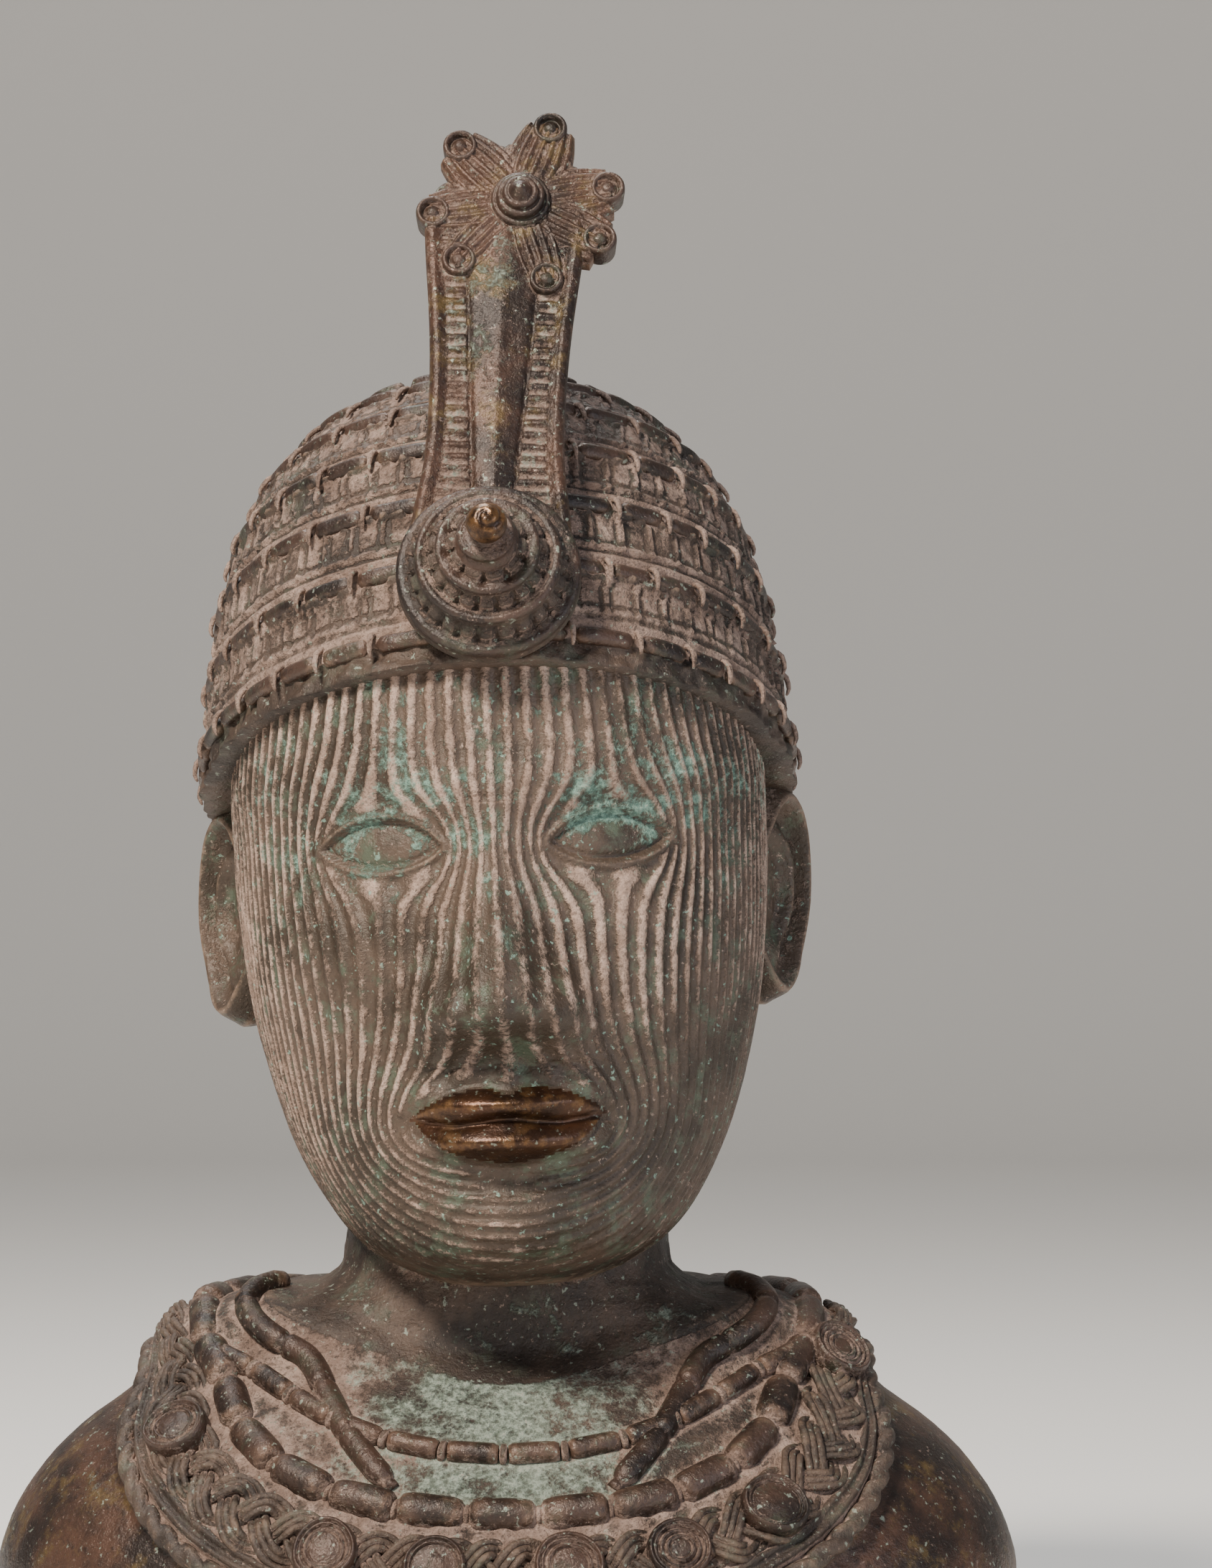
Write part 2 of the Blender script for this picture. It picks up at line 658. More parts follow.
def face_bronze(settings):
    # Raised lines dusted pink over brown grooves with turquoise corrosion.
    browns = palette("#33291f", "#54453a", "#86705f", "#4b5848")
    dusts = (tuple(settings.dust), tuple(settings.pale_dust), tuple(settings.deep_dust))
    turquoises = (tuple(settings.turquoise), tuple(settings.pale_turquoise))
    return patina("lined face bronze", browns, dusts, turquoises,
                  roughness=0.42, soil=0.15, verdigris=0.08, metal=0.22)


def rubbed_bronze(settings):
    # The few places polished to warm golden brown by touch.
    browns = palette("#27180f", "#4a2f1d", "#83603d", "#523a22")
    return patina("rubbed bronze", browns, *buried(settings),
                  roughness=0.24, soil=0.10, verdigris=-0.10, metal=0.60, grit=0.4)


FINISHES = (smooth_bronze, soiled_bronze, bead_bronze, face_bronze, rubbed_bronze)
SMOOTH, SOILED, BEAD, FACE, RUBBED = range(len(FINISHES))
STORE = {}


def surfaces():
    """The bronze finishes, made once and shared by the pieces."""
    if "finishes" not in STORE:
        STORE["finishes"] = [finish(bpy.context.scene.bust_patina) for finish in FINISHES]
    return STORE["finishes"]


# Settings


def length_setting(name, description, default):
    return bpy.props.FloatProperty(name=name, description=description, default=default, unit="LENGTH")


class CollarSettings(bpy.types.PropertyGroup):
    bead_length: length_setting("Bead length", "Pitch of the barrel beads", 0.0172)
    bead_radius: length_setting("Bead radius", "Widest radius of a barrel bead", 0.0046)
    strand_radius: length_setting("String radius", "Radius of the thin string of beads", 0.0028)
    pendant_radius: length_setting("V strand radius", "Radius of the V-shaped strand", 0.0033)
    strip_radius: length_setting("Plait strand radius", "Radius of one strand of a plait", 0.0010)
    strips: bpy.props.IntProperty(
        name="Plait strands", description="Parallel strands in each ribbon of the plait", default=3)
    plait_waves: bpy.props.IntProperty(
        name="Plait waves", description="Waves of each ribbon of the plait", default=11)
    medallion_radius: length_setting("Medallion radius", "Radius of a ringed medallion", 0.0080)
    rope_twist: length_setting("Rope twist", "Length of one turn of the border rope", 0.0084)


class FaceSettings(bpy.types.PropertyGroup):
    line_pitch: length_setting("Line pitch", "Distance between the face's raised lines", 0.0043)
    line_height: length_setting("Line height", "Height of the face's raised lines", 0.0012)
    lid_height: length_setting("Lid height", "How far the eyelids' edges stand proud", 0.0015)


class CapSettings(bpy.types.PropertyGroup):
    bead_pitch: length_setting("Bead pitch", "Distance between the claws along a row", 0.0162)
    bead_radius: length_setting("Bead radius", "Radius of the long beads of a row", 0.0021)
    claw_reach: length_setting("Claw reach", "How far a claw stands off the dome", 0.0026)
    plaque_width: length_setting("Plaque width", "Width of the plaques between two rows", 0.0082)


class CrestSettings(bpy.types.PropertyGroup):
    ribs: bpy.props.IntProperty(
        name="Cross ribs", description="Cross ribs in each band of the crest", default=25)
    rib_height: length_setting("Rib height", "Height of a cross rib", 0.0012)
    edge_width: length_setting("Edge width", "Width of the crest's raised edges", 0.0042)
    keel_height: length_setting("Keel height", "Height of the keel's ridge", 0.0026)
    petal_reach: length_setting("Petal reach", "From the boss's middle to a petal's cup", 0.0221)


def colour_setting(name, description, code):
    return bpy.props.FloatVectorProperty(
        name=name, description=description, size=4, subtype="COLOR", min=0.0, max=1.0,
        default=linear(code))


class PatinaSettings(bpy.types.PropertyGroup):
    earth: colour_setting("Earth", "Pinkish burial earth", "#776257")
    dry_earth: colour_setting("Dry earth", "Paler crumbs of the earth", "#a68f82")
    deep_earth: colour_setting("Deep earth", "Darker crumbs of the earth", "#4e4037")
    corrosion: colour_setting("Corrosion", "Dull grey-green corrosion", "#5d685c")
    pale_corrosion: colour_setting("Pale corrosion", "Pale specks of corrosion", "#96a294")
    dust: colour_setting("Dust", "Pinkish dust on the face's lines", "#8c7567")
    pale_dust: colour_setting("Pale dust", "Paler crumbs of that dust", "#bfa697")
    deep_dust: colour_setting("Deep dust", "Darker crumbs of that dust", "#65544a")
    turquoise: colour_setting("Turquoise", "Corrosion in the face's grooves", "#516f65")
    pale_turquoise: colour_setting("Pale turquoise", "Pale specks of that corrosion", "#87a798")


class StageSettings(bpy.types.PropertyGroup):
    distance: length_setting("Camera distance", "From the camera to the bust's middle", 1.6)
    height: length_setting("Camera height", "Height of the camera", 0.242)
    lens: bpy.props.FloatProperty(
        name="Lens", description="Focal length in millimetres", default=142.6)


# Shoulders


def cape_profile(rise):
    """How far the cape stands off the body at a height above its lower edge."""
    top = COLLAR_THICKNESS
    out = top * smooth_step(rise / 0.0008)
    out = out - top * 0.42 * smooth_step((rise - 0.0040) / 0.0012) * (
        1 - smooth_step((rise - BORDER_GAP + 0.0030) / 0.0008))
    for offset in (-0.0013, 0.0013):
        out = out + 0.0016 * hump(rise - BORDER_GAP - offset, 0.0009)
    return np.where(rise < 0, 0.0, out)


def build_shoulders():
    piece = Piece("shoulders", surfaces())
    fore = np.linspace(-1.75, 1.75, 440)
    angle = np.concatenate([fore, np.linspace(1.75, math.tau - 1.75, 112)[1:-1]])
    low, high = collar_height(angle), hung_height(NECK_LINE, angle)
    fall = body_fall(angle, low)
    border = BORDER_GAP + BORDER_RADIUS + 0.001
    inner = low + border * fall
    cape_end = high + (NECK_FOOT_HEIGHT * 1.04 - high) * 0.4
    rows, outs = [np.zeros_like(angle)], [np.zeros_like(angle)]
    for share in np.linspace(0.02, 1, 30):
        rows.append(low * share)
        outs.append(np.zeros_like(angle))
    for rise in np.linspace(0.0003, border, 26):
        rows.append(low + rise * fall)
        outs.append(np.full_like(angle, cape_profile(rise)))
    for share in np.linspace(0.03, 1, 46):
        rows.append(inner + (high - inner) * share)
        outs.append(np.full_like(angle, COLLAR_THICKNESS * (1 - 0.2 * share)))
    for share in np.linspace(0.04, 1, 46):
        row = high + (NECK_FOOT_HEIGHT + NECK_HEIGHT - high) * share
        rows.append(row)
        outs.append(COLLAR_THICKNESS * 0.8 * (1 - smooth_step((row - high) / (cape_end - high))))
    height, out = np.array(rows), np.array(outs)
    points = body_point(angle[None], height, out)
    rise = (height - low[None]) / fall[None]
    below = rise < 0
    chest = (rise > BORDER_GAP + 0.002) & (height < high)
    ground = chest & (height < bead_height(angle)[None])
    dent = ripple(points, 0.016) * 0.00035 + ripple(points, 0.004, 5.0) * 0.00012
    gritty = 0.0006 * ripple(points, 0.0030, 2.0) + 0.0003 * ripple(points, 0.0017, 8.0)
    dent = dent + np.where(ground, gritty, 0.0)
    rugged = 0.0004 * ripple(points, 0.007, 4.0) + 0.0003 * ripple(points, 0.0030, 6.0)
    dent = dent + np.where(height > high, rugged, 0.0)
    dent = dent * smooth_step(height / 0.004)
    points = points + body_normal(np.broadcast_to(angle, height.shape), height) * dent[..., None]
    points[..., 2] = np.maximum(points[..., 2], 0)
    band = (rise > 0.004) & (rise < BORDER_GAP - 0.002)
    ahead = np.clip(np.cos(angle[None]), 0, 1)
    middle = chest & ~ground
    neck = height >= high
    mottle = ripple(points, 0.020, 7.0)
    crust = ripple(points, 0.0060, 9.0)
    earth = np.where(below, -0.02 + 0.14 * mottle, 0.0) + np.where(ground, 0.46, 0.0)
    earth = earth + np.where(middle, 0.40 - 0.06 * ahead**3 + 0.12 * mottle, 0.0)
    earth = earth - np.where(ground, 0.24 * np.clip(-gritty / 0.0004, 0, 1), 0.0)
    earth = earth + np.where(band, 0.22, 0.0)
    earth = earth + np.where(neck, -0.10 + 0.30 * mottle + 0.26 * crust, 0.0)
    green = np.where(middle, 0.10 + 0.44 * ahead**4, 0.0) + np.where(band, 0.10, 0.0)
    green = green + np.where(neck, 0.14 + 0.22 * crust, 0.0)
    green = green + np.where(below, 0.08 + 0.08 * crust, 0.0)
    green = green + np.where(ground, -0.03, 0.0)
    finish = np.where(chest | neck | (rise > 0), SOILED, SMOOTH)[:-1]
    piece.add(points, finish, earth, green)
    return piece.finish()


# Collar

# Where the string of beads and the V-shaped strand run, and how long their beads are.
STRING_PITCH = 0.0150
STRING_LIMIT = math.radians(72)
PENDANT_PITCH = 0.019
PENDANT_TOP = math.radians(85)
PENDANT_FOOT = math.radians(21)
PLAIT_LIMIT = math.radians(100)


def barrel(start, end, away, radius, waist, rings=12, sides=16, full=4.0):
    """A bead between two points, fullest at its middle."""
    share = np.linspace(0, 1, rings)
    bulge = np.maximum(0, 1 - np.abs(2 * share - 1) ** full) ** 0.5
    path = start + (end - start) * share[:, None]
    radii = radius * (waist + (1 - waist) * bulge)
    return tube(path, radii, np.broadcast_to(away, path.shape), sides)


def add_beads(piece, settings, chance):
    marks = spread(bead_height, settings.bead_length, math.pi)
    height = bead_height(marks)
    spots = body_point(marks, height, COLLAR_THICKNESS * 0.85)
    away = body_normal(marks, height)
    for i in range(len(marks) - 1):
        start, end = spots[i], spots[i + 1]
        gap = (end - start) * 0.03
        radius = settings.bead_radius * chance.uniform(0.93, 1.03)
        tilt = away[i] * chance.uniform(-0.0005, 0.0005)
        middle = unit(away[i] + away[i + 1])
        bead = barrel(start + gap + tilt, end - gap - tilt, middle, radius, 0.55, 16, 20, 5.0)
        bead = uneven(bead, 0.005, 0.00028, middle, 9.0)
        marks_green = 0.16 * np.clip(ripple(bead, 0.006, 3.0), 0, 1)
        crust = 0.22 * np.clip(ripple(bead, 0.004, 5.0), 0, 1)
        crust[:3] += 0.16
        crust[-3:] += 0.16
        piece.add(bead, BEAD, crust - 0.02, 0.03 + marks_green)
        link = barrel(end - gap * 1.4, end + gap * 1.4, middle, radius * 0.60, 0.8, 4, 12)
        piece.add(link, SOILED, 0.3)


def add_strand(piece, settings, chance):
    marks = spread(strand_height, STRING_PITCH, STRING_LIMIT)
    height = strand_height(marks)
    spots = body_point(marks, height, COLLAR_THICKNESS + 0.0004)
    away = body_normal(marks, height)
    for i in range(len(marks) - 1):
        start, end = spots[i], spots[i + 1]
        middle = unit(away[i] + away[i + 1])
        gap = (end - start) * 0.085
        radius = settings.strand_radius * chance.uniform(0.94, 1.04)
        bead = barrel(start + gap, end - gap, middle, radius, 0.80, 12, 14, 8.0)
        bead = uneven(bead, 0.004, 0.0002, middle, 2.0)
        piece.add(bead, BEAD, 0.06, 0.12)
        link = barrel(end - gap * 0.75, end + gap * 0.75, middle, radius * 0.95, 0.60, 6, 14)
        piece.add(link, SOILED, 0.3)


def add_pendants(piece, settings):
    for side in (-1, 1):
        share = np.linspace(0, 1, 110)
        angle = side * (PENDANT_TOP + (PENDANT_FOOT - PENDANT_TOP) * share**0.75)
        height = NECK_FOOT_HEIGHT * (0.985 + (BEAD_LINE[0] + 0.050 - 0.985) * share)
        path = body_point(angle, height, COLLAR_THICKNESS)
        run = run_along(path)
        joint = np.abs((run / PENDANT_PITCH) % 1 - 0.5)
        radii = settings.pendant_radius * (1 - 0.24 * hump(joint - 0.5, 0.035))
        radii = radii * (1 - 0.45 * smooth_step((share - 0.92) / 0.08))
        away = body_normal(angle, height)
        form = uneven(tube(path, radii, away, 18), 0.004, 0.0003, away[:, None], 6.0)
        dirt = 0.30 * hump(joint - 0.5, 0.05)[:, None] + 0.02
        piece.add(form, BEAD, dirt, 0.10)


def add_rope(piece, settings):
    marks = spread(collar_height, 0.0007, math.pi)[:-1]
    low = collar_height(marks)
    height = low + ROPE_RADIUS * body_fall(marks, low)
    path = body_point(marks, height, COLLAR_THICKNESS * 0.75)
    run = np.cumsum(np.linalg.norm(np.diff(path, axis=0, append=path[:1]), axis=1))
    turns = round(run[-1] / settings.rope_twist)
    sides = 16
    turn = full_turn(sides)
    twist = np.abs(np.cos(turn[None] - math.pi * turns * (run / run[-1])[:, None]))
    lumps = 1 + 0.10 * ripple(path, 0.004)[:, None]
    radii = ROPE_RADIUS * (0.54 + 0.54 * twist**0.55) * lumps
    earth = 0.20 - 0.36 * twist**0.6
    form = tube(path, radii, body_normal(marks, height), sides, looped=True)
    piece.add(form, SOILED, earth, looped=True)


def add_plaits(piece, settings):
    """A plait of three ribbons, each of parallel strands that go over and then under."""
    angle = np.linspace(-PLAIT_LIMIT, PLAIT_LIMIT, 640)
    middle, room = plait_band(angle)
    for ribbon in range(3):
        turn = angle / PLAIT_LIMIT * settings.plait_waves * math.pi + ribbon * math.tau / 3
        height = middle + np.sin(turn) * room * 0.62
        over = 0.0015 * np.sin(2 * turn)
        base = body_point(angle, height, COLLAR_THICKNESS + 0.0004)
        away = body_normal(angle, height)
        across = np.cross(unit(np.gradient(base, axis=0)), away)
        for k in range(settings.strips):
            shift = (k - (settings.strips - 1) / 2) * settings.strip_radius * 1.85
            sag = 0.0004 * ripple(base, 0.007, 3.0 + k)
            path = base + across * shift + away * (over + sag)[:, None]
            radii = settings.strip_radius * (1 + 0.22 * ripple(path, 0.003))
            strand = uneven(tube(path, radii, away, 8), 0.0045, 0.0003, away[:, None], 8.0 + k)
            piece.add(strand, SOILED, -0.16 + 0.22 * ripple(strand, 0.011, 2.0), 0.04)


def add_medallions(piece, settings):
    """Flat discs on the plaits, each with a raised ring or two about a low dome."""
    chance = np.random.default_rng(21)
    for degrees in MEDALLION_ANGLES:
        angle = np.array(math.radians(degrees))
        height, _ = plait_band(angle)
        out = body_normal(angle, height)
        across = unit(np.cross(np.array([0, 0, 1.0]), out))
        axes = np.array([across, np.cross(out, across), out])
        spot = body_point(angle, height, COLLAR_THICKNESS)
        radius = settings.medallion_radius * chance.uniform(0.94, 1.08)
        rings = chance.choice([1.0, 2.0, 3.0])
        profile = [(radius, -0.003), (radius, 0.0026), (radius * 0.99, 0.0036)]
        for share in np.linspace(0, 1, 40):
            ringed = (share > 0.2) * (share < 0.1 + 0.2 * rings)
            edge = hump(share - 0.07, 0.07) + 0.55 * np.cos(math.tau * share * 5) * ringed
            top = 0.0040 + 0.0010 * edge + 0.0006 * smooth_step((share - 0.35) * 2)
            profile.append((radius * (0.97 - 0.96 * share), top))
        form = uneven(turned(profile, 48, axes, spot), 0.005, 0.0004, out, degrees)
        form = uneven(form, 0.012, 0.0008, across, degrees)
        piece.add(form, BEAD, 0.10, 0.05)


def build_collar(settings):
    piece = Piece("collar", surfaces())
    chance = np.random.default_rng(5)
    add_beads(piece, settings, chance)
    add_strand(piece, settings, chance)
    add_pendants(piece, settings)
    add_rope(piece, settings)
    add_plaits(piece, settings)
    add_medallions(piece, settings)
    return piece.finish()


# Head


def girth(angle):
    """Distance round the head from the middle of the face, at the cheeks' height."""
    table = np.linspace(0, math.pi, 400)
    across, front, behind = through(HEAD_STATIONS, np.full_like(table, 0.4))
    deep = np.where(np.cos(table) > 0, front * HEAD_FRONT, behind * HEAD_BACK)
    size = oval(table, across * HEAD_HALF_WIDTH, deep, HEAD_SQUARENESS)
    spots = np.stack([np.sin(table) * size, -np.cos(table) * size], -1)
    lengths = run_along(spots)
    return np.sign(angle) * np.interp(np.abs(angle), table, lengths)


def eye_edge(x, rise):
    """Distance outside the almond outline of the nearer eye, negative inside it."""
    offset = np.abs(x) - EYE_SPREAD * HEAD_HALF_WIDTH
    arch = np.maximum(0, 1 - (offset / EYE_HALF_WIDTH) ** 2) ** 0.8
    over, under = rise - 0.0072 * arch, -0.0056 * arch - rise
    return np.maximum(np.maximum(over, under), np.abs(offset) - EYE_HALF_WIDTH)


def lip_edge(x, rise):
    """Distance outside the lips' outline, negative inside it."""
    bow = 1 - 0.24 * hump(x, 0.0035)
    upper = 0.0090 * np.maximum(0, 1 - (x / LIP_HALF_WIDTH) ** 2) ** 0.75 * bow
    lower = 0.0108 * np.maximum(0, 1 - (x / (LIP_HALF_WIDTH * 0.93)) ** 2) ** 0.75
    return np.maximum(np.maximum(rise - upper, -lower - rise), np.abs(x) - LIP_HALF_WIDTH)


def face_lines(angle, share, points, pitch):
    """The raised lines from 0 to 1, which part round the eyes and close under the chin."""
    along = girth(angle)
    drop = np.maximum(0, (MOUTH_SHARE - share) * HEAD_HEIGHT)
    flow = along
    for side in (-1, 1):
        x = along - side * EYE_SPREAD * HEAD_HALF_WIDTH * 1.02
        z = (share - EYE_SHARE) * HEAD_HEIGHT
        reach = np.maximum((x / 0.0175) ** 2 + (z / 0.0115) ** 2, 1.0)
        flow = flow - 0.72 * x / reach
    z = (share - MOUTH_SHARE) * HEAD_HEIGHT
    reach = np.maximum((along / 0.026) ** 2 + (z / 0.014) ** 2, 1.0)
    flow = flow * (1 - 0.55 / reach)
    flow = np.sqrt(flow**2 + (1.35 * drop) ** 2) * np.sign(along + 1e-9)
    phase = flow / pitch + 0.16 * ripple(points, 0.022, 2.0) + 0.05 * ripple(points, 0.006, 4.0)
    wave = 0.5 + 0.5 * np.cos(math.tau * phase)
    return wave**1.1


def build_head(settings):
    piece = Piece("head", surfaces())
    reach = math.radians(100)
    front = np.linspace(-reach, reach, 368)
    back = np.linspace(reach, math.tau - reach, 44)[1:-1]
    angle = np.concatenate([front, back])
    angle = np.where(angle > math.pi, angle - math.tau, angle)
    share = np.linspace(0, 0.745, 212)
    turn, level = np.meshgrid(angle, share)
    flat = head_point(turn, level)
    across, deep, _ = through(HEAD_STATIONS, level)
    size = oval(turn, across * HEAD_HALF_WIDTH, deep * HEAD_FRONT, HEAD_SQUARENESS)
    x = np.sin(turn) * size
    ahead = smooth_step(np.cos(turn) * 4)

    eye = eye_edge(x, (level - EYE_SHARE) * HEAD_HEIGHT)
    lips = lip_edge(x, (level - MOUTH_SHARE) * HEAD_HEIGHT)
    lines = face_lines(turn, level, flat, settings.line_pitch)
    bare = smooth_step((eye - 0.0014) / 0.0016) * smooth_step((lips - 0.0016) / 0.0018)
    patch = (x / 0.0065) ** 2 + (((level - 0.121) * HEAD_HEIGHT) / 0.0042) ** 2
    bare = 1 - (1 - bare) * ahead
    bare = bare * smooth_step((patch - 0.8) * 2)
    worn = 0.82 + 0.18 * ripple(flat, 0.012, 6.0)
    round_back = 1 - smooth_step((np.abs(turn) - math.radians(88)) / math.radians(10))
    lines = lines * bare * worn * round_back

    lift = settings.line_height * lines
    lift = lift + ahead * settings.lid_height * hump(eye - 0.0008, 0.0010)
    lift = lift - ahead * 0.0009 * hump(eye + 0.0011, 0.0007)
    lift = lift - ahead * 0.0009 * hump(lips - 0.0007, 0.0007)
    inside = smooth_step(-lips / 0.002) * ahead
    seam = (level - MOUTH_SHARE) * HEAD_HEIGHT - 0.0007 * np.cos(x / LIP_HALF_WIDTH * math.tau)
    lift = lift - 0.0016 * hump(seam, 0.0009) * smooth_step((0.0235 - np.abs(x)) / 0.003) * ahead
    lift = lift + inside * 0.0004
    lift = lift + ripple(flat, 0.008, 8.0) * 0.00012
    points = head_point(turn, level, lift)
    under = []
    for shrink, drop in ((0.35, 0.0040), (0.70, 0.0034), (0.88, 0.0020)):
        under.append(head_point(angle, np.zeros_like(angle), 0.0, shrink, drop))
    points = np.concatenate([np.array(under), points])

    def padded(values):
        return np.concatenate([np.zeros((len(under), len(angle))), values])

    dusty = 0.75 + 0.35 * ripple(flat, 0.040, 5.0) - 0.35 * smooth_step((0.22 - level) / 0.2)
    dusty = dusty - 0.25 * smooth_step(x / 0.05) * smooth_step((0.45 - level) / 0.3)
    earth = np.sqrt(lines) * 0.80 * np.clip(dusty, 0.1, 1.1) - 0.16 * (1 - lines) * bare
    green = 0.06 * hump(level - 0.58, 0.06) + 0.08 * hump(level - 0.50, 0.07) - 0.16 * lines
    green = green + 0.18 * ripple(flat, 0.03, 1.0) + 0.08 * ripple(flat, 0.009, 3.0) + 0.08
    green = green + 0.14 * smooth_step((level - 0.45) / 0.12)
    green = green - 0.18 * smooth_step((0.25 - level) / 0.15)
    pupil = ((np.abs(x) - EYE_SPREAD * HEAD_HALF_WIDTH) / 0.0056) ** 2
    pupil = hump(pupil + ((level - EYE_SHARE) * HEAD_HEIGHT / 0.0040) ** 2, 1.2)
    ball = smooth_step((-eye - 0.0008) / 0.0010) * ahead
    green = green + ball * (0.12 - 0.50 * pupil)
    earth = earth - ball * 0.25
    smooth = ahead * smooth_step(-lips / 0.0012)
    earth = earth - smooth * 0.3
    green = green - smooth * 0.3
    rub = smooth * 0.12
    finish = np.where(padded(smooth) > 0.3, RUBBED, FACE)[:-1]
    piece.add(points, finish, padded(earth), padded(green), padded(rub))
    for side in (-1, 1):
        add_ear(piece, side)
    return piece.finish()


def add_ear(piece, side):
    """A shallow dish with a C-shaped rim, an inner fold, a lobe and a small front lip."""
    angle = np.array(side * math.radians(97))
    spot = head_point(angle, np.array((BROW_SHARE + NOSE_BASE_SHARE) / 2))
    out = unit(np.array([side * 0.90, -0.42, 0.0]))
    lean = unit(np.array([0, 0.16, 1.0]))
    ahead = unit(np.cross(lean, out))
    axes = np.array([ahead, unit(np.cross(out, ahead)), out])
    turn = full_turn(72)[None]
    radius = np.linspace(1.0, 0.02, 30)[:, None]
    forward = -side * np.cos(turn)
    rise = np.sin(turn)
    rim = 1 - 0.8 * hump(forward - 1.0, 0.42) * hump(rise + 0.15, 0.5)
    height = 0.66 * hump(radius - 0.86, 0.115) * rim
    fold = np.clip(0.5 - 0.6 * forward, 0, 1)
    height = height + 0.40 * hump(radius - 0.55, 0.10) * fold * (1 - 0.5 * hump(rise + 1, 0.5))
    x, y = radius * forward, radius * rise
    height = height + 0.30 * hump(x + 0.05, 0.40) * hump(y + 0.62, 0.24)
    height = height + 0.45 * hump(x - 0.66, 0.20) * hump(y + 0.10, 0.20)
    height = height + 0.12 * np.clip(1 - radius * 1.2, 0, 1)
    narrow = 1 - 0.16 * np.clip(-rise, 0, 1)
    local = np.stack([
        radius * narrow * EAR_WIDTH / 2 * np.cos(turn),
        radius * EAR_HEIGHT / 2 * rise,
        (height + 0.02) * EAR_THICKNESS,
    ], -1)
    wall = []
    for shrink, depth in ((0.92, -0.9), (0.98, -0.4), (1.0, 0.05)):
        ring = local[0] * np.array([shrink, shrink, 0]) + np.array([0, 0, depth * EAR_THICKNESS])
        wall.append(ring)
    form = spot + np.concatenate([np.array(wall), local]) @ axes
    form = uneven(form, 0.005, 0.0002, out)
    piece.add(form, FACE, 0.20 + 0.12 * ripple(form, 0.009, 3.0), 0.10)


# Cap

# The plaques' foot and top as shares of the way between two rows, the half widths of
# the posts and fine lines, and where the finely divided front ends, as a share of the
# girth.
PLAQUE_FOOT = 0.38
PLAQUE_TOP = 0.80
POST_WIDTH = 0.00055
LINE_WIDTH = 0.00045
FRONT_SHARE = 0.29
# Each step of a claw: up from the row and radius in millimetres, and share of the reach.
CLAW = (
    (2.9, 0.80, -0.10), (2.3, 0.80, 0.55), (1.1, 0.80, 0.92), (-0.5, 0.75, 1.00),
    (-1.9, 0.65, 0.98), (-3.0, 0.50, 0.80), (-3.7, 0.30, 0.62),
)


def cap_relief(girth_share, share, points, settings):
    """Plaques, fine lines and the ragged ledges between the rows of beads."""
    rows = np.array([row_share(row) for row in range(CAP_ROWS)] + [1.0])
    k = np.clip(np.searchsorted(rows, share, side="right") - 1, 0, CAP_ROWS - 1)
    v = (share - rows[k]) / (rows[k + 1] - rows[k])
    band = (v > 0) & (k < CAP_ROWS - 1)
    fullness = np.sqrt(np.maximum(0.05, 1 - np.maximum(share, 0) ** CAP_SQUARENESS))
    around = 0.50 * (1 - 0.13 * share) * fullness
    number = np.round(around / settings.plaque_width)
    cell = girth_share * number + 0.37 * k
    edge = np.abs(cell % 1 - 0.5) * settings.plaque_width
    post = hump(edge, POST_WIDTH) * smooth_step((v - 0.30) / 0.05)
    post = post * (1 - smooth_step((v - 0.84) / 0.06))
    tall = (rows[k + 1] - rows[k]) * CAP_HEIGHT
    lines = hump((v - 0.22) * tall, LINE_WIDTH) + hump((v - PLAQUE_FOOT) * tall, LINE_WIDTH)
    grooves = hump((v - 0.30) * tall, LINE_WIDTH) + hump((v - 0.47) * tall, LINE_WIDTH)
    grooves = grooves + hump(edge - 0.0013, LINE_WIDTH) * (v > PLAQUE_FOOT) * (v < 0.84)
    # A large multiple of a sine gives each plaque a fixed share that looks random.
    raised = np.sin(np.floor(cell + 0.5) * 12.9898 + k * 78.233) * 43758.5453 % 1
    plaque = (raised - 0.4) * 0.0005 * smooth_step((v - PLAQUE_FOOT) / 0.04)
    plaque = plaque * (1 - smooth_step((v - PLAQUE_TOP) / 0.05))
    ragged = np.clip(0.55 + 0.9 * ripple(points, 0.0021, 3.0), 0, 1.4)
    ledge = smooth_step((v - PLAQUE_TOP) / 0.12) * ragged
    grooves = np.where(band, np.clip(grooves, 0, 1), 0.0)
    relief = np.where(band, 0.0009 * post + 0.0007 * lines + plaque, 0.0) - 0.0005 * grooves
    relief = relief + np.where(band, 0.0016 * ledge, 0.0)
    relief = relief + 0.0003 * ripple(points, 0.0024, 1.0) + 0.0004 * ripple(points, 0.010, 2.0)
    face = smooth_step((v - PLAQUE_FOOT) / 0.05) * (v < PLAQUE_TOP) * (edge > 0.0009)
    face = np.where(band, face, 0.0)
    return relief, raised * face, grooves, ledge * band


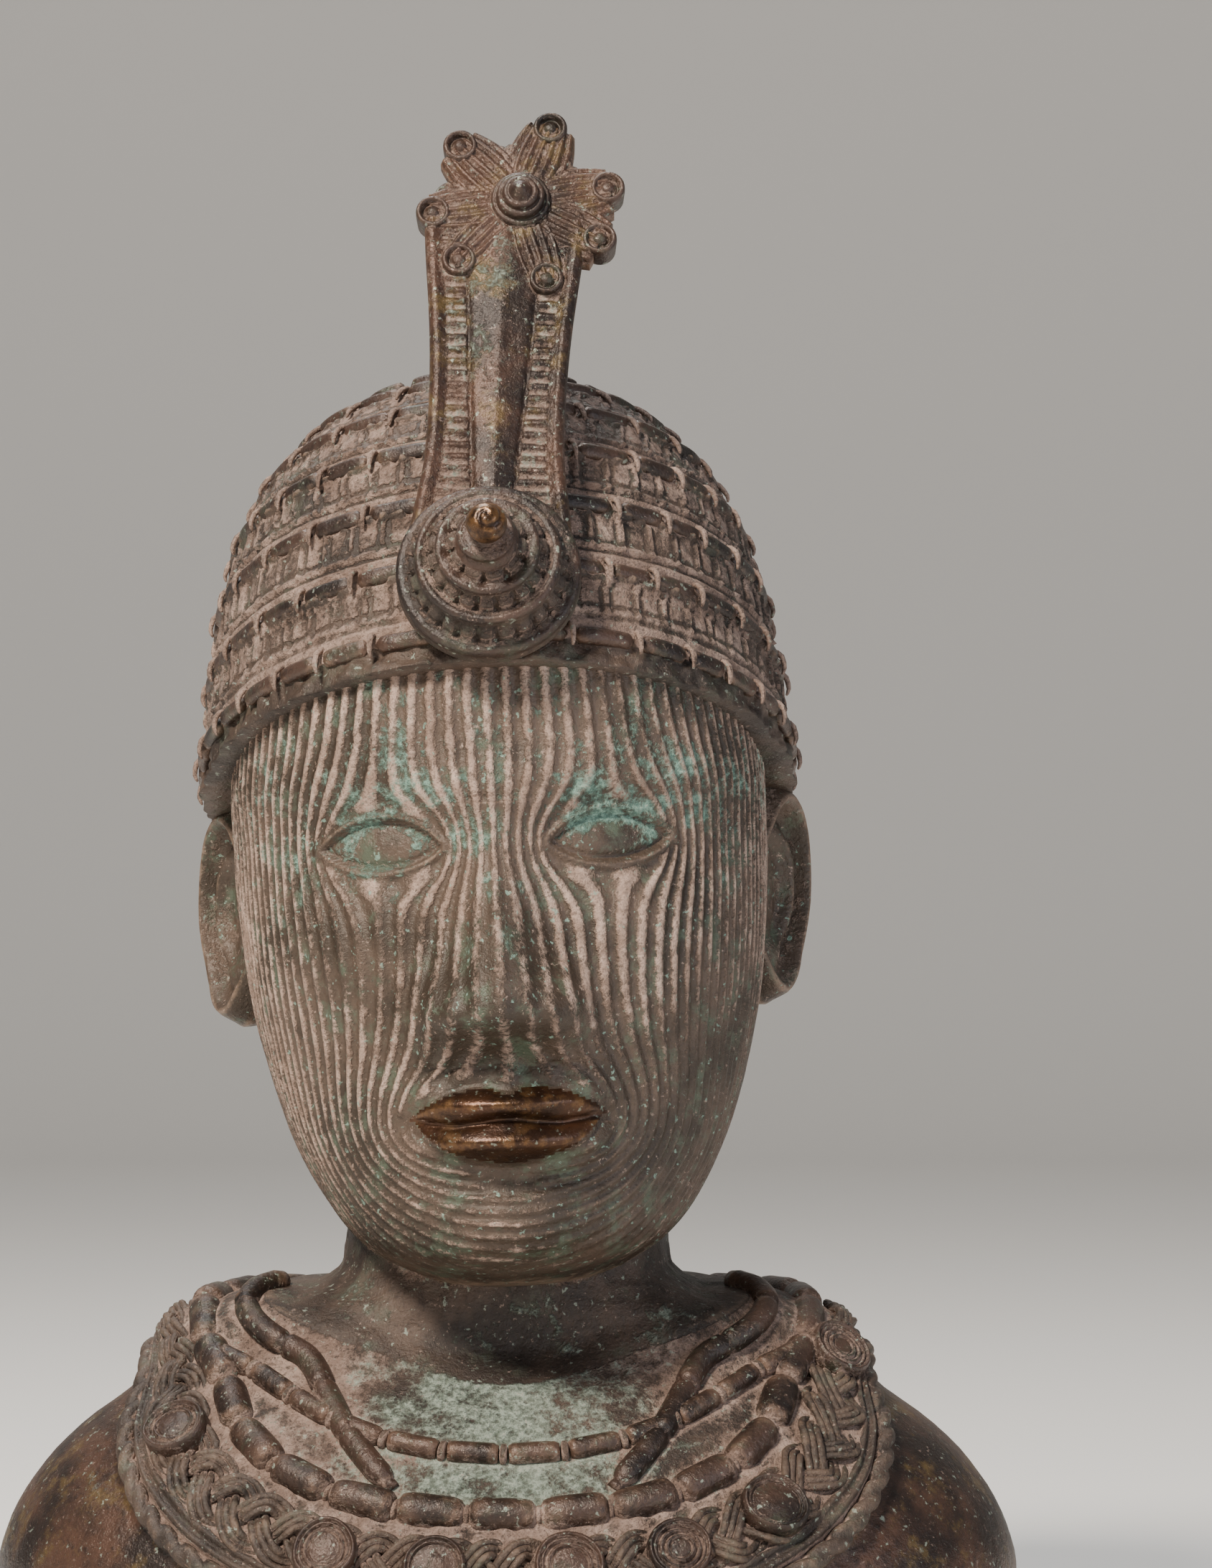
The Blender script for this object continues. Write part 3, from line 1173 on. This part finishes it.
def build_cap(settings):
    piece = Piece("cap", surfaces())
    front = np.linspace(-FRONT_SHARE, FRONT_SHARE, 330)
    back = np.linspace(FRONT_SHARE, 1 - FRONT_SHARE, 70)[1:-1]
    around = np.concatenate([front, back])
    angle = cap_turns(around)
    rim = -CAP_RIM_HEIGHT / CAP_HEIGHT
    marks = [row_share(row) for row in range(CAP_ROWS)]
    shares = list(np.linspace(rim, marks[0], 11)[:-1])
    for low, high in zip(marks, marks[1:]):
        count = max(8, round((high - low) * CAP_HEIGHT / 0.00078))
        shares += list(np.linspace(low, high, count, endpoint=False))
    shares += list(np.linspace(marks[-1], 0.985, 12))
    turn, share = np.meshgrid(angle, np.array(shares))
    girth_share = np.meshgrid(around, np.array(shares))[0]
    plain = cap_point(turn, share)
    relief, plaque, grooves, ledge = cap_relief(girth_share, share, plain, settings)
    under = 1 - smooth_step((share - marks[0] + 0.012) / 0.012)
    ragged = ripple(plain, 0.0038, 6.0) + 0.5 * ripple(plain, 0.0019, 2.0)
    relief = relief + 0.0014 * under * (ragged - 0.3)
    points = cap_point(turn, share, relief)
    inner = cap_point(angle, np.full_like(angle, rim), -0.006)
    points = np.concatenate([inner[None], points])

    def padded(values):
        return np.concatenate([values[:1], values])

    mottle = ripple(plain, 0.018, 3.0)
    bare = plaque > 0.72
    ledge = np.clip(ledge, 0, 1)
    earth = 0.54 - 0.50 * grooves - 0.14 * bare - 1.00 * under - 1.00 * ledge + 0.10 * mottle
    green = 0.10 * bare + 0.16 * ledge + 0.12 * under + 0.04 * mottle
    piece.add(points, SOILED, padded(earth), padded(green), padded(-0.45 * under - 0.25 * grooves))
    chance = np.random.default_rng(8)
    for row in range(CAP_ROWS):
        add_bead_row(piece, settings, row, marks[row], chance)
    return piece.finish()


def add_bead_row(piece, settings, row, share, chance):
    ring = cap_point(cap_turns(np.linspace(0, 1, 361)), share)
    length = np.sum(np.linalg.norm(np.diff(ring, axis=0), axis=1))
    count = max(6, round(length / settings.bead_pitch))
    last = row == CAP_ROWS - 1
    offset = chance.uniform(0, 1)
    ends = (np.arange(count) + offset + chance.uniform(-0.12, 0.12, count)) / count
    steps = np.linspace(0, 1, 11)
    shape = np.maximum(0.02, 1 - np.abs(2 * steps - 1) ** 9) ** 0.5
    turn = full_turn(10)
    flat = 0.80 + 0.28 * np.abs(np.sin(turn))
    for i in range(count):
        start, end = ends[i], ends[(i + 1) % count] + (1 if i == count - 1 else 0)
        gap = 0.0008 / length
        span = start + gap + (end - start - 2 * gap) * steps
        angle = cap_turns(span)
        path = cap_point(angle, share, 0.0001)
        away = cap_point(angle, share, 0.01) - path
        radii = (settings.bead_radius * chance.uniform(0.92, 1.05) * shape)[:, None] * flat[None]
        form = uneven(tube(path, radii, away, len(turn)), 0.004, 0.00030, unit(away)[:, None], row)
        tinge = 0.06 + 0.10 * np.clip(ripple(form, 0.007, 2.0), 0, 1)
        dust = -0.34 + 0.20 * np.clip(ripple(form, 0.005, 5.0), 0, 1)
        piece.add(form, BEAD, dust, tinge, -0.22)
        if last:
            continue
        reach = settings.claw_reach * chance.uniform(0.84, 1.0)
        rise, radii, out = np.array(CLAW).T * np.array([[0.001], [0.001], [reach]])
        angle = cap_turns(start)
        path = cap_point(angle, share + rise / CAP_HEIGHT, out)
        side = cap_point(angle + 0.01, share) - cap_point(angle, share)
        claw = tube(path, radii, np.broadcast_to(side, path.shape), 6)
        piece.add(claw, SOILED, 0.50, -0.1)


# Crest

# The plate's back, from side to side: share of the half width and of the thickness.
CREST_BACK = (
    (-1.00, -0.10), (-0.98, -0.30), (-0.80, -0.80), (-0.60, -1.00), (-0.20, -1.04),
    (0.20, -1.04), (0.60, -1.00), (0.80, -0.80), (0.98, -0.30), (1.00, -0.10),
)
# Radius and height of each smooth ring of the disc, then radius of each channel
# between them and the number of its beads.
DISC_RINGS = ((0.0210, 0.0015), (0.0163, 0.0017), (0.0112, 0.0018))
DISC_CHANNELS = ((0.0188, 24), (0.0138, 18), (0.0091, 10))
COIL_PITCH = 0.0046
FURROWS = 7


def add_crest_plate(piece, settings, axes, origin):
    """The leaning plate: raised edges, two sunk bands of cross ribs and a keel."""
    share = np.linspace(-0.02, 1.0, 200)[:, None]
    half = CREST_WIDTH / 2 + 0.0036 * hump(share - 1.0, 0.30) + 0.0030 * hump(share - 0.10, 0.16)
    q = np.linspace(1, -1, 64)[None]
    x = q * half
    keel = 0.0045 + 0.0045 * smooth_step(share)
    edge = half - settings.edge_width
    side = np.abs(x)
    first, last = 0.17, 0.97
    wide, y = np.broadcast_arrays(x, share * CREST_LENGTH)
    grain = ripple(np.stack([wide, y, 0 * y], -1), 0.012, 3.0)
    phase = (share - first) / (last - first) * settings.ribs + 0.10 * grain
    ribs = (0.5 - 0.5 * np.cos(math.tau * phase)) ** 0.7
    ribs = ribs * smooth_step((phase + 0.2) * 3) * smooth_step((settings.ribs - phase + 0.2) * 3)
    inside = smooth_step((side - keel - 0.0004) / 0.0007) * smooth_step((edge - side + 0.0002) / 0.0007)
    z = settings.rib_height * ribs * inside
    roof = np.clip(1 - side / keel, 0, 1) ** 0.9
    ridge = 0.0009 * smooth_step((keel - side) / 0.0007) + (settings.keel_height - 0.0009) * roof
    z = z + np.where(side < keel, ridge, 0.0)
    bar = np.clip((side - edge) / settings.edge_width, 0, 1)
    z = z + np.where(side > edge, 0.0021 * np.sqrt(np.clip(1 - (2 * bar - 0.95) ** 2, 0, 1)), 0.0)
    z = z - 0.0005 * hump(side - edge - 0.0010, 0.0004)
    z = z * smooth_step((1.0 - share) / 0.03)
    z = z + 0.0002 * ripple(np.stack([wide, y, z], -1), 0.003)
    top = np.stack([wide, y, z], -1)
    back = []
    for reach, depth in CREST_BACK:
        floor = np.full_like(share, depth * CREST_THICKNESS)
        back.append(np.concatenate([reach * half, share * CREST_LENGTH, floor], 1))
    local = np.concatenate([top, np.stack(back, 1)], 1)
    pad = np.zeros((len(share), len(back)))
    groove = np.concatenate([inside * (1 - ribs), pad], 1)
    roofs = np.concatenate([np.broadcast_to(roof, z.shape) * (side < keel), pad], 1)
    form = origin + local @ axes
    mottle = ripple(form, 0.009, 4.0)
    earth = 0.40 * groove + 0.14 + 0.10 * mottle
    green = 0.20 * np.concatenate([inside * np.ones_like(z), pad], 1) + 0.16 * (roofs > 0)
    green = green + 0.10 * mottle + 0.06
    piece.add(form, SMOOTH, earth, green, 0.20 * roofs**6)


def disc_lift(radius, height, turn):
    """Smooth rings with beaded channels between them, and the coils of the spike."""
    rise = np.zeros(np.broadcast(radius, turn).shape)
    low = (height > 0) & (height < COIL_START)
    for middle, tall in DISC_RINGS:
        rise = rise + np.where(low, tall * hump(radius - middle, 0.0010), 0)
        rise = rise - np.where(low, 0.0009 * hump(np.abs(radius - middle) - 0.0017, 0.00045), 0)
    for middle, beads in DISC_CHANNELS:
        pillow = 1 - np.abs(np.cos(beads * turn / 2 + middle * 900)) ** 8
        block = 0.0009 * pillow - 0.0007 * (1 - pillow) ** 2
        rise = rise + np.where(low, block * np.exp(-((radius - middle) / 0.0012) ** 4), 0)
    coil = 0.5 + 0.5 * np.cos(math.tau * height / COIL_PITCH - turn)
    return rise - np.where(height >= COIL_START, 0.0008 * (1 - coil), 0)


def add_disc(piece, axes, origin):
    top = DISC_RISE + CONE_HEIGHT - 0.0003
    body = fine((
        (DISC_RADIUS * 0.70, DISC_RISE - DISC_THICKNESS),
        (DISC_RADIUS * 0.95, -0.0040), (DISC_RADIUS, 0.0006), (0.0214, 0.0036), (0.0202, 0.0050),
        (0.0188, 0.0070), (0.0176, 0.0104), (0.0163, 0.0124), (0.0151, 0.0132), (0.0138, 0.0146),
        (0.0125, 0.0168), (0.0112, 0.0182), (0.0101, 0.0190), (0.0088, 0.0204), (0.0078, 0.0222),
        (0.0074, 0.0250), (0.0066, 0.0268), (TIP_RADIUS * 0.95, top - TIP_RADIUS * 2.1),
        (TIP_RADIUS * 0.75, top - TIP_RADIUS * 1.8),
    ), 0.00040)
    turn = full_turn(170)
    form = turned(body, len(turn), axes, origin, disc_lift)
    rise = disc_lift(body[:, :1] + 0 * turn, body[:, 1:] + 0 * turn, turn[None])
    ring = rise[:, :1] > 0.0009
    earth = 0.20 - 0.45 * ring - 0.60 * (rise < -0.0003)
    finish = np.where(ring | (body[:, 1:] > COIL_START), BEAD, SOILED)[:-1]
    piece.add(form, finish, earth, 0.10, 0.06)
    arc = np.linspace(-1.25, 1.50, 30)
    ball = [(TIP_RADIUS * math.cos(a), top - TIP_RADIUS + TIP_RADIUS * math.sin(a)) for a in arc]

    def spiral(radius, height, turn):
        groove = np.cos(turn - math.tau * radius / 0.0036)
        up = smooth_step((height - top + TIP_RADIUS * 0.9) / 0.002)
        return -0.0006 * up * np.clip(groove, 0, 1) ** 2

    piece.add(turned(ball, 48, axes, origin, spiral), RUBBED, -0.1, -0.1, 0.35)


def add_rosette(piece, settings, axes, origin):
    """Broad striated lobes with ringed knobs, spread about a stepped boss."""
    centre = origin + axes[1] * CREST_LENGTH + axes[0] * ROSETTE_SHIFT
    thick, reach = PETAL_THICKNESS, settings.petal_reach
    for k, degrees in enumerate(PETAL_ANGLES):
        turn = math.radians(degrees)
        along = axes[0] * math.cos(turn) + axes[1] * math.sin(turn)
        petal_axes = np.array([along, np.cross(axes[2], along), axes[2]])
        share = np.linspace(0.10, 1.02, 30)[:, None]
        half = PETAL_WIDTH / 2 * np.sin(math.pi * (0.22 + 0.49 * share))
        q = np.linspace(-1, 1, 33)[None]
        low = -thick * (0.75 + 0.03 * k)
        ridge = thick * (0.55 - 0.25 * share)
        brim = low + thick * 0.7
        z = brim + (ridge - brim) * (1 - np.abs(q) ** 3.5)
        furrow = np.cos(q * math.pi * FURROWS)
        z = z + 0.0005 * furrow * smooth_step((share - 0.25) * 4)
        top = np.stack([np.broadcast_to(share * reach, z.shape), q * half, z], -1)
        floor = np.full_like(share, low)
        bottom = [np.concatenate([share * reach, half * side, floor], 1) for side in (1, 0, -1)]
        local = np.concatenate([top, np.stack(bottom, 1)], 1)
        stripe = 0.5 - 0.5 * furrow * np.ones_like(share)
        stripe = np.concatenate([stripe, np.zeros((len(share), len(bottom)))], 1)
        piece.add(centre + local @ petal_axes, SMOOTH, 0.04 + 0.26 * stripe**2, 0.0)
        knob = fine((
            (0.0040, low), (0.0043, 0.0008), (0.0042, 0.0026), (0.0036, 0.0032), (0.0030, 0.0027),
            (0.0025, 0.0014), (0.0020, 0.0018), (0.0012, 0.0027), (0.0003, 0.0030),
        ), 0.00045)
        spot = centre + along * reach - axes[2] * thick * 0.1
        piece.add(turned(knob, 30, axes, spot), BEAD, -0.06, 0.0, 0.05)
    web = fine((
        (ROSETTE_RADIUS * 0.92, -thick * 1.2), (ROSETTE_RADIUS * 1.06, -thick * 0.75),
        (ROSETTE_RADIUS * 1.06, -thick * 0.20), (ROSETTE_RADIUS * 1.03, 0.0002),
        (0.0120, 0.0012), (0.0090, 0.0020),
    ), 0.0006)

    # A plain lump stands for the one behind the rosette, whose form can't be made out.
    lump = fine((
        (0.0010, -0.0105), (0.0036, -0.0095), (0.0046, -0.0070), (0.0043, -0.0040),
        (0.0028, -0.0022), (0.0006, -0.0018),
    ), 0.0006)
    turn = math.radians(168)
    spot = centre + (axes[0] * math.cos(turn) + axes[1] * math.sin(turn)) * 0.0180
    piece.add(turned(lump, 28, axes, spot), SMOOTH, 0.10, 0.25)

    def furrows(radius, height, turn):
        return 0.0003 * np.cos(turn * 46) * (height > -thick * 0.5)

    piece.add(turned(web, 200, axes, centre, furrows), SOILED, 0.28, 0.0)
    boss = fine((
        (0.0074, -0.0010), (0.0074, 0.0034), (0.0068, 0.0042), (0.0063, 0.0039), (0.0059, 0.0058),
        (0.0052, 0.0064), (0.0047, 0.0061), (0.0043, 0.0077), (0.0036, 0.0082), (0.0031, 0.0079),
        (0.0023, 0.0090), (0.0011, 0.0104), (0.0003, 0.0108),
    ), 0.00045)
    piece.add(turned(boss, 60, axes, centre), BEAD, 0.0, 0.0, 0.05)


def build_crest(settings):
    piece = Piece("crest", surfaces())
    axes, origin = crest_axes()
    add_crest_plate(piece, settings, axes, origin)
    add_disc(piece, axes, origin)
    add_rosette(piece, settings, axes, origin)
    return piece.finish()


# Marks that the patina reads

# How far the feelers for hollows reach and how far off the skin they start, how high
# a place stands off its surroundings to count as fully raised, and the feelers' number.
FEELER_REACH = 0.007
FEELER_START = 0.00025
RAISED_HEIGHT = 0.0014
FEELERS = 6


def mark_shapes(pieces):
    """Writes how raised and how hollow the surface is at each point."""
    meshes, points, normals, faces, start = [], [], [], [], 0
    for piece in pieces:
        mesh = piece.data
        co = np.zeros(len(mesh.vertices) * 3, np.float32)
        mesh.vertices.foreach_get("co", co)
        facing = np.zeros(len(mesh.vertices) * 3, np.float32)
        mesh.vertex_normals.foreach_get("vector", facing)
        mesh.calc_loop_triangles()
        triangles = np.zeros(len(mesh.loop_triangles) * 3, np.int32)
        mesh.loop_triangles.foreach_get("vertices", triangles)
        points.append(co.reshape(-1, 3))
        normals.append(facing.reshape(-1, 3))
        faces.append(triangles.reshape(-1, 3) + start)
        meshes.append(mesh)
        start += len(mesh.vertices)
    tree = BVHTree.FromPolygons(np.concatenate(points).tolist(), np.concatenate(faces).tolist())
    spokes = []
    for i in range(FEELERS):
        turn = math.tau * i / FEELERS
        tilt = 0.55 if i % 2 else 1.05
        flat = math.sin(tilt)
        spokes.append((flat * math.cos(turn), flat * math.sin(turn), math.cos(tilt)))
    for mesh, co, facing in zip(meshes, points, normals):
        helper = np.where(np.abs(facing[:, :1]) < 0.7, [[1.0, 0, 0]], [[0, 1.0, 0]])
        side = unit(np.cross(facing, helper))
        other = np.cross(facing, side)
        hollow = np.zeros(len(co))
        origins = (co + facing * FEELER_START).tolist()
        for a, b, c in spokes:
            rays = (side * a + other * b + facing * c).tolist()
            hits = [tree.ray_cast(spot, ray, FEELER_REACH)[3] for spot, ray in zip(origins, rays)]
            near = np.array([0.0 if hit is None else 1 - hit / FEELER_REACH for hit in hits])
            hollow += np.sqrt(near) / len(spokes)
        edges = np.zeros(len(mesh.edges) * 2, np.int32)
        mesh.edges.foreach_get("vertices", edges)
        edges = edges.reshape(-1, 2)
        hollow = soften(hollow[:, None], edges, 1)[:, 0]
        raised = np.sum((co - soften(co, edges, 5)) * facing, -1)
        shape = np.zeros((len(co), 4), np.float32)
        shape[:, 0] = np.clip(0.40 + raised / RAISED_HEIGHT, 0, 1)
        shape[:, 1] = np.clip(hollow * 1.3, 0, 1)
        layer = mesh.attributes.new("shape", "FLOAT_COLOR", "POINT")
        layer.data.foreach_set("color", shape.ravel())


def soften(values, edges, times):
    """Values averaged with those of the points they share an edge with."""
    count = len(values)
    shared = np.bincount(edges.ravel(), minlength=count)[:, None] + 1e-9
    for _ in range(times):
        total = np.stack([
            np.bincount(edges[:, 0], values[edges[:, 1], k], count)
            + np.bincount(edges[:, 1], values[edges[:, 0], k], count)
            for k in range(values.shape[1])
        ], -1)
        values = 0.4 * values + 0.6 * total / shared
    return values


# Stage

# Each light: its place, what it aims at, its size, its power and its colour.
LIGHTS = {
    "key light": ((-0.65, -1.15, 1.40), (0, 0, 0.22), 0.40, 62, "#fff4e6"),
    "fill light": ((1.40, -1.20, 0.50), (0, 0, 0.22), 1.00, 12, "#e6efff"),
    "top light": ((-0.20, 0.50, 1.50), (0, 0, 0.30), 0.70, 16, "#ffffff"),
}
# The paper: its half width, its front end, where its bend starts and how wide the bend
# is, and the height of its wall.
PAPER_HALF_WIDTH = 6.0
PAPER_FRONT = -6.0
PAPER_BEND_START = 2.4
PAPER_BEND = 0.9
PAPER_HEIGHT = 5.0
CAMERA_SHIFT = 0.0253


def soft_light(name, place, aim, size, power, colour):
    data = bpy.data.lights.new(name, "AREA")
    data.shape, data.size, data.energy = "DISK", size, power
    data.color = linear(colour)[:3]
    light = bpy.data.objects.new(name, data)
    light.location = place
    light.rotation_euler = (Vector(aim) - Vector(place)).to_track_quat("-Z", "Y").to_euler()
    bpy.context.scene.collection.objects.link(light)


def plain_material(name, colour, roughness):
    material = bpy.data.materials.new(name)
    material.use_nodes = True
    shader = material.node_tree.nodes["Principled BSDF"]
    shader.inputs["Base Color"].default_value = linear(colour)
    shader.inputs["Roughness"].default_value = roughness
    return material


def build_stage(settings):
    steps = [(PAPER_FRONT, 0.0), (PAPER_BEND_START, 0.0)]
    for angle in np.linspace(0.1, math.pi / 2, 14):
        y = PAPER_BEND_START + PAPER_BEND * math.sin(angle)
        steps.append((y, PAPER_BEND * (1 - math.cos(angle))))
    steps.append((PAPER_BEND_START + PAPER_BEND, PAPER_HEIGHT))
    points = [(x, y, z) for y, z in steps for x in (-PAPER_HALF_WIDTH, PAPER_HALF_WIDTH)]
    faces = [(2 * i, 2 * i + 1, 2 * i + 3, 2 * i + 2) for i in range(len(steps) - 1)]
    mesh = bpy.data.meshes.new("floor")
    mesh.from_pydata(points, [], faces)
    mesh.polygons.foreach_set("use_smooth", [True] * len(faces))
    # Matt pale paper, so that only the bronze has a sheen.
    mesh.materials.append(plain_material("pale paper", "#e6e3de", 0.9))
    floor = bpy.data.objects.new("floor", mesh)
    bpy.context.scene.collection.objects.link(floor)

    for name, light in LIGHTS.items():
        soft_light(name, *light)

    world = bpy.data.worlds.new("studio")
    world.use_nodes = True
    sky = world.node_tree.nodes["Background"]
    sky.inputs["Color"].default_value = linear("#c9cdd2")
    sky.inputs["Strength"].default_value = 0.40
    bpy.context.scene.world = world

    data = bpy.data.cameras.new("camera")
    data.lens = settings.lens
    camera = bpy.data.objects.new("camera", data)
    camera.location = (CAMERA_SHIFT, -settings.distance, settings.height)
    camera.rotation_euler = (math.radians(90), 0, 0)
    bpy.context.scene.collection.objects.link(camera)
    bpy.context.scene.camera = camera


# Operators and panel


class BUST_OT_shoulders(bpy.types.Operator):
    """Builds the shoulders, chest and neck"""

    bl_idname = "bust.shoulders"
    bl_label = "Shoulders"

    def execute(self, context):
        build_shoulders()
        return {"FINISHED"}


class BUST_OT_collar(bpy.types.Operator):
    """Builds the beads, strands, plaits, medallions and border rope"""

    bl_idname = "bust.collar"
    bl_label = "Collar"

    def execute(self, context):
        build_collar(context.scene.bust_collar)
        return {"FINISHED"}


class BUST_OT_head(bpy.types.Operator):
    """Builds the head with its lined face and ears"""

    bl_idname = "bust.head"
    bl_label = "Head"

    def execute(self, context):
        build_head(context.scene.bust_face)
        return {"FINISHED"}


class BUST_OT_cap(bpy.types.Operator):
    """Builds the cap with its rows of beads and claws"""

    bl_idname = "bust.cap"
    bl_label = "Cap"

    def execute(self, context):
        build_cap(context.scene.bust_cap)
        return {"FINISHED"}


class BUST_OT_crest(bpy.types.Operator):
    """Builds the crest with its disc and rosette"""

    bl_idname = "bust.crest"
    bl_label = "Crest"

    def execute(self, context):
        build_crest(context.scene.bust_crest)
        return {"FINISHED"}


class BUST_OT_marks(bpy.types.Operator):
    """Marks the raised and hollow places of every piece for the patina"""

    bl_idname = "bust.marks"
    bl_label = "Wear and dirt marks"

    def execute(self, context):
        names = ("shoulders", "collar", "head", "cap", "crest")
        mark_shapes([bpy.data.objects[name] for name in names])
        return {"FINISHED"}


class BUST_OT_stage(bpy.types.Operator):
    """Builds the floor, lights and camera"""

    bl_idname = "bust.stage"
    bl_label = "Stage"

    def execute(self, context):
        build_stage(context.scene.bust_stage)
        return {"FINISHED"}


STEPS = (BUST_OT_shoulders, BUST_OT_collar, BUST_OT_head, BUST_OT_cap, BUST_OT_crest,
         BUST_OT_marks, BUST_OT_stage)
GROUPS = {
    "bust_collar": CollarSettings,
    "bust_face": FaceSettings,
    "bust_cap": CapSettings,
    "bust_crest": CrestSettings,
    "bust_patina": PatinaSettings,
    "bust_stage": StageSettings,
}


class BUST_PT_panel(bpy.types.Panel):
    """Settings and steps of the bust"""

    bl_label = "Bust"
    bl_idname = "BUST_PT_panel"
    bl_space_type = "VIEW_3D"
    bl_region_type = "UI"
    bl_category = "Bust"

    def draw(self, context):
        for name in GROUPS:
            group = getattr(context.scene, name)
            for key in group.__annotations__:
                self.layout.prop(group, key)
        for step in STEPS:
            self.layout.operator(step.bl_idname)


def register():
    for name, group in GROUPS.items():
        bpy.utils.register_class(group)
        setattr(bpy.types.Scene, name, bpy.props.PointerProperty(type=group))
    for item in STEPS + (BUST_PT_panel,):
        bpy.utils.register_class(item)


def unregister():
    for item in reversed(STEPS + (BUST_PT_panel,)):
        bpy.utils.unregister_class(item)
    for name, group in GROUPS.items():
        delattr(bpy.types.Scene, name)
        bpy.utils.unregister_class(group)


def main():
    register()
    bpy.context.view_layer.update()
    bpy.ops.bust.shoulders()
    bpy.ops.bust.collar()
    bpy.ops.bust.head()
    bpy.ops.bust.cap()
    bpy.ops.bust.crest()
    bpy.ops.bust.marks()
    bpy.ops.bust.stage()


if __name__ == "__main__":
    main()
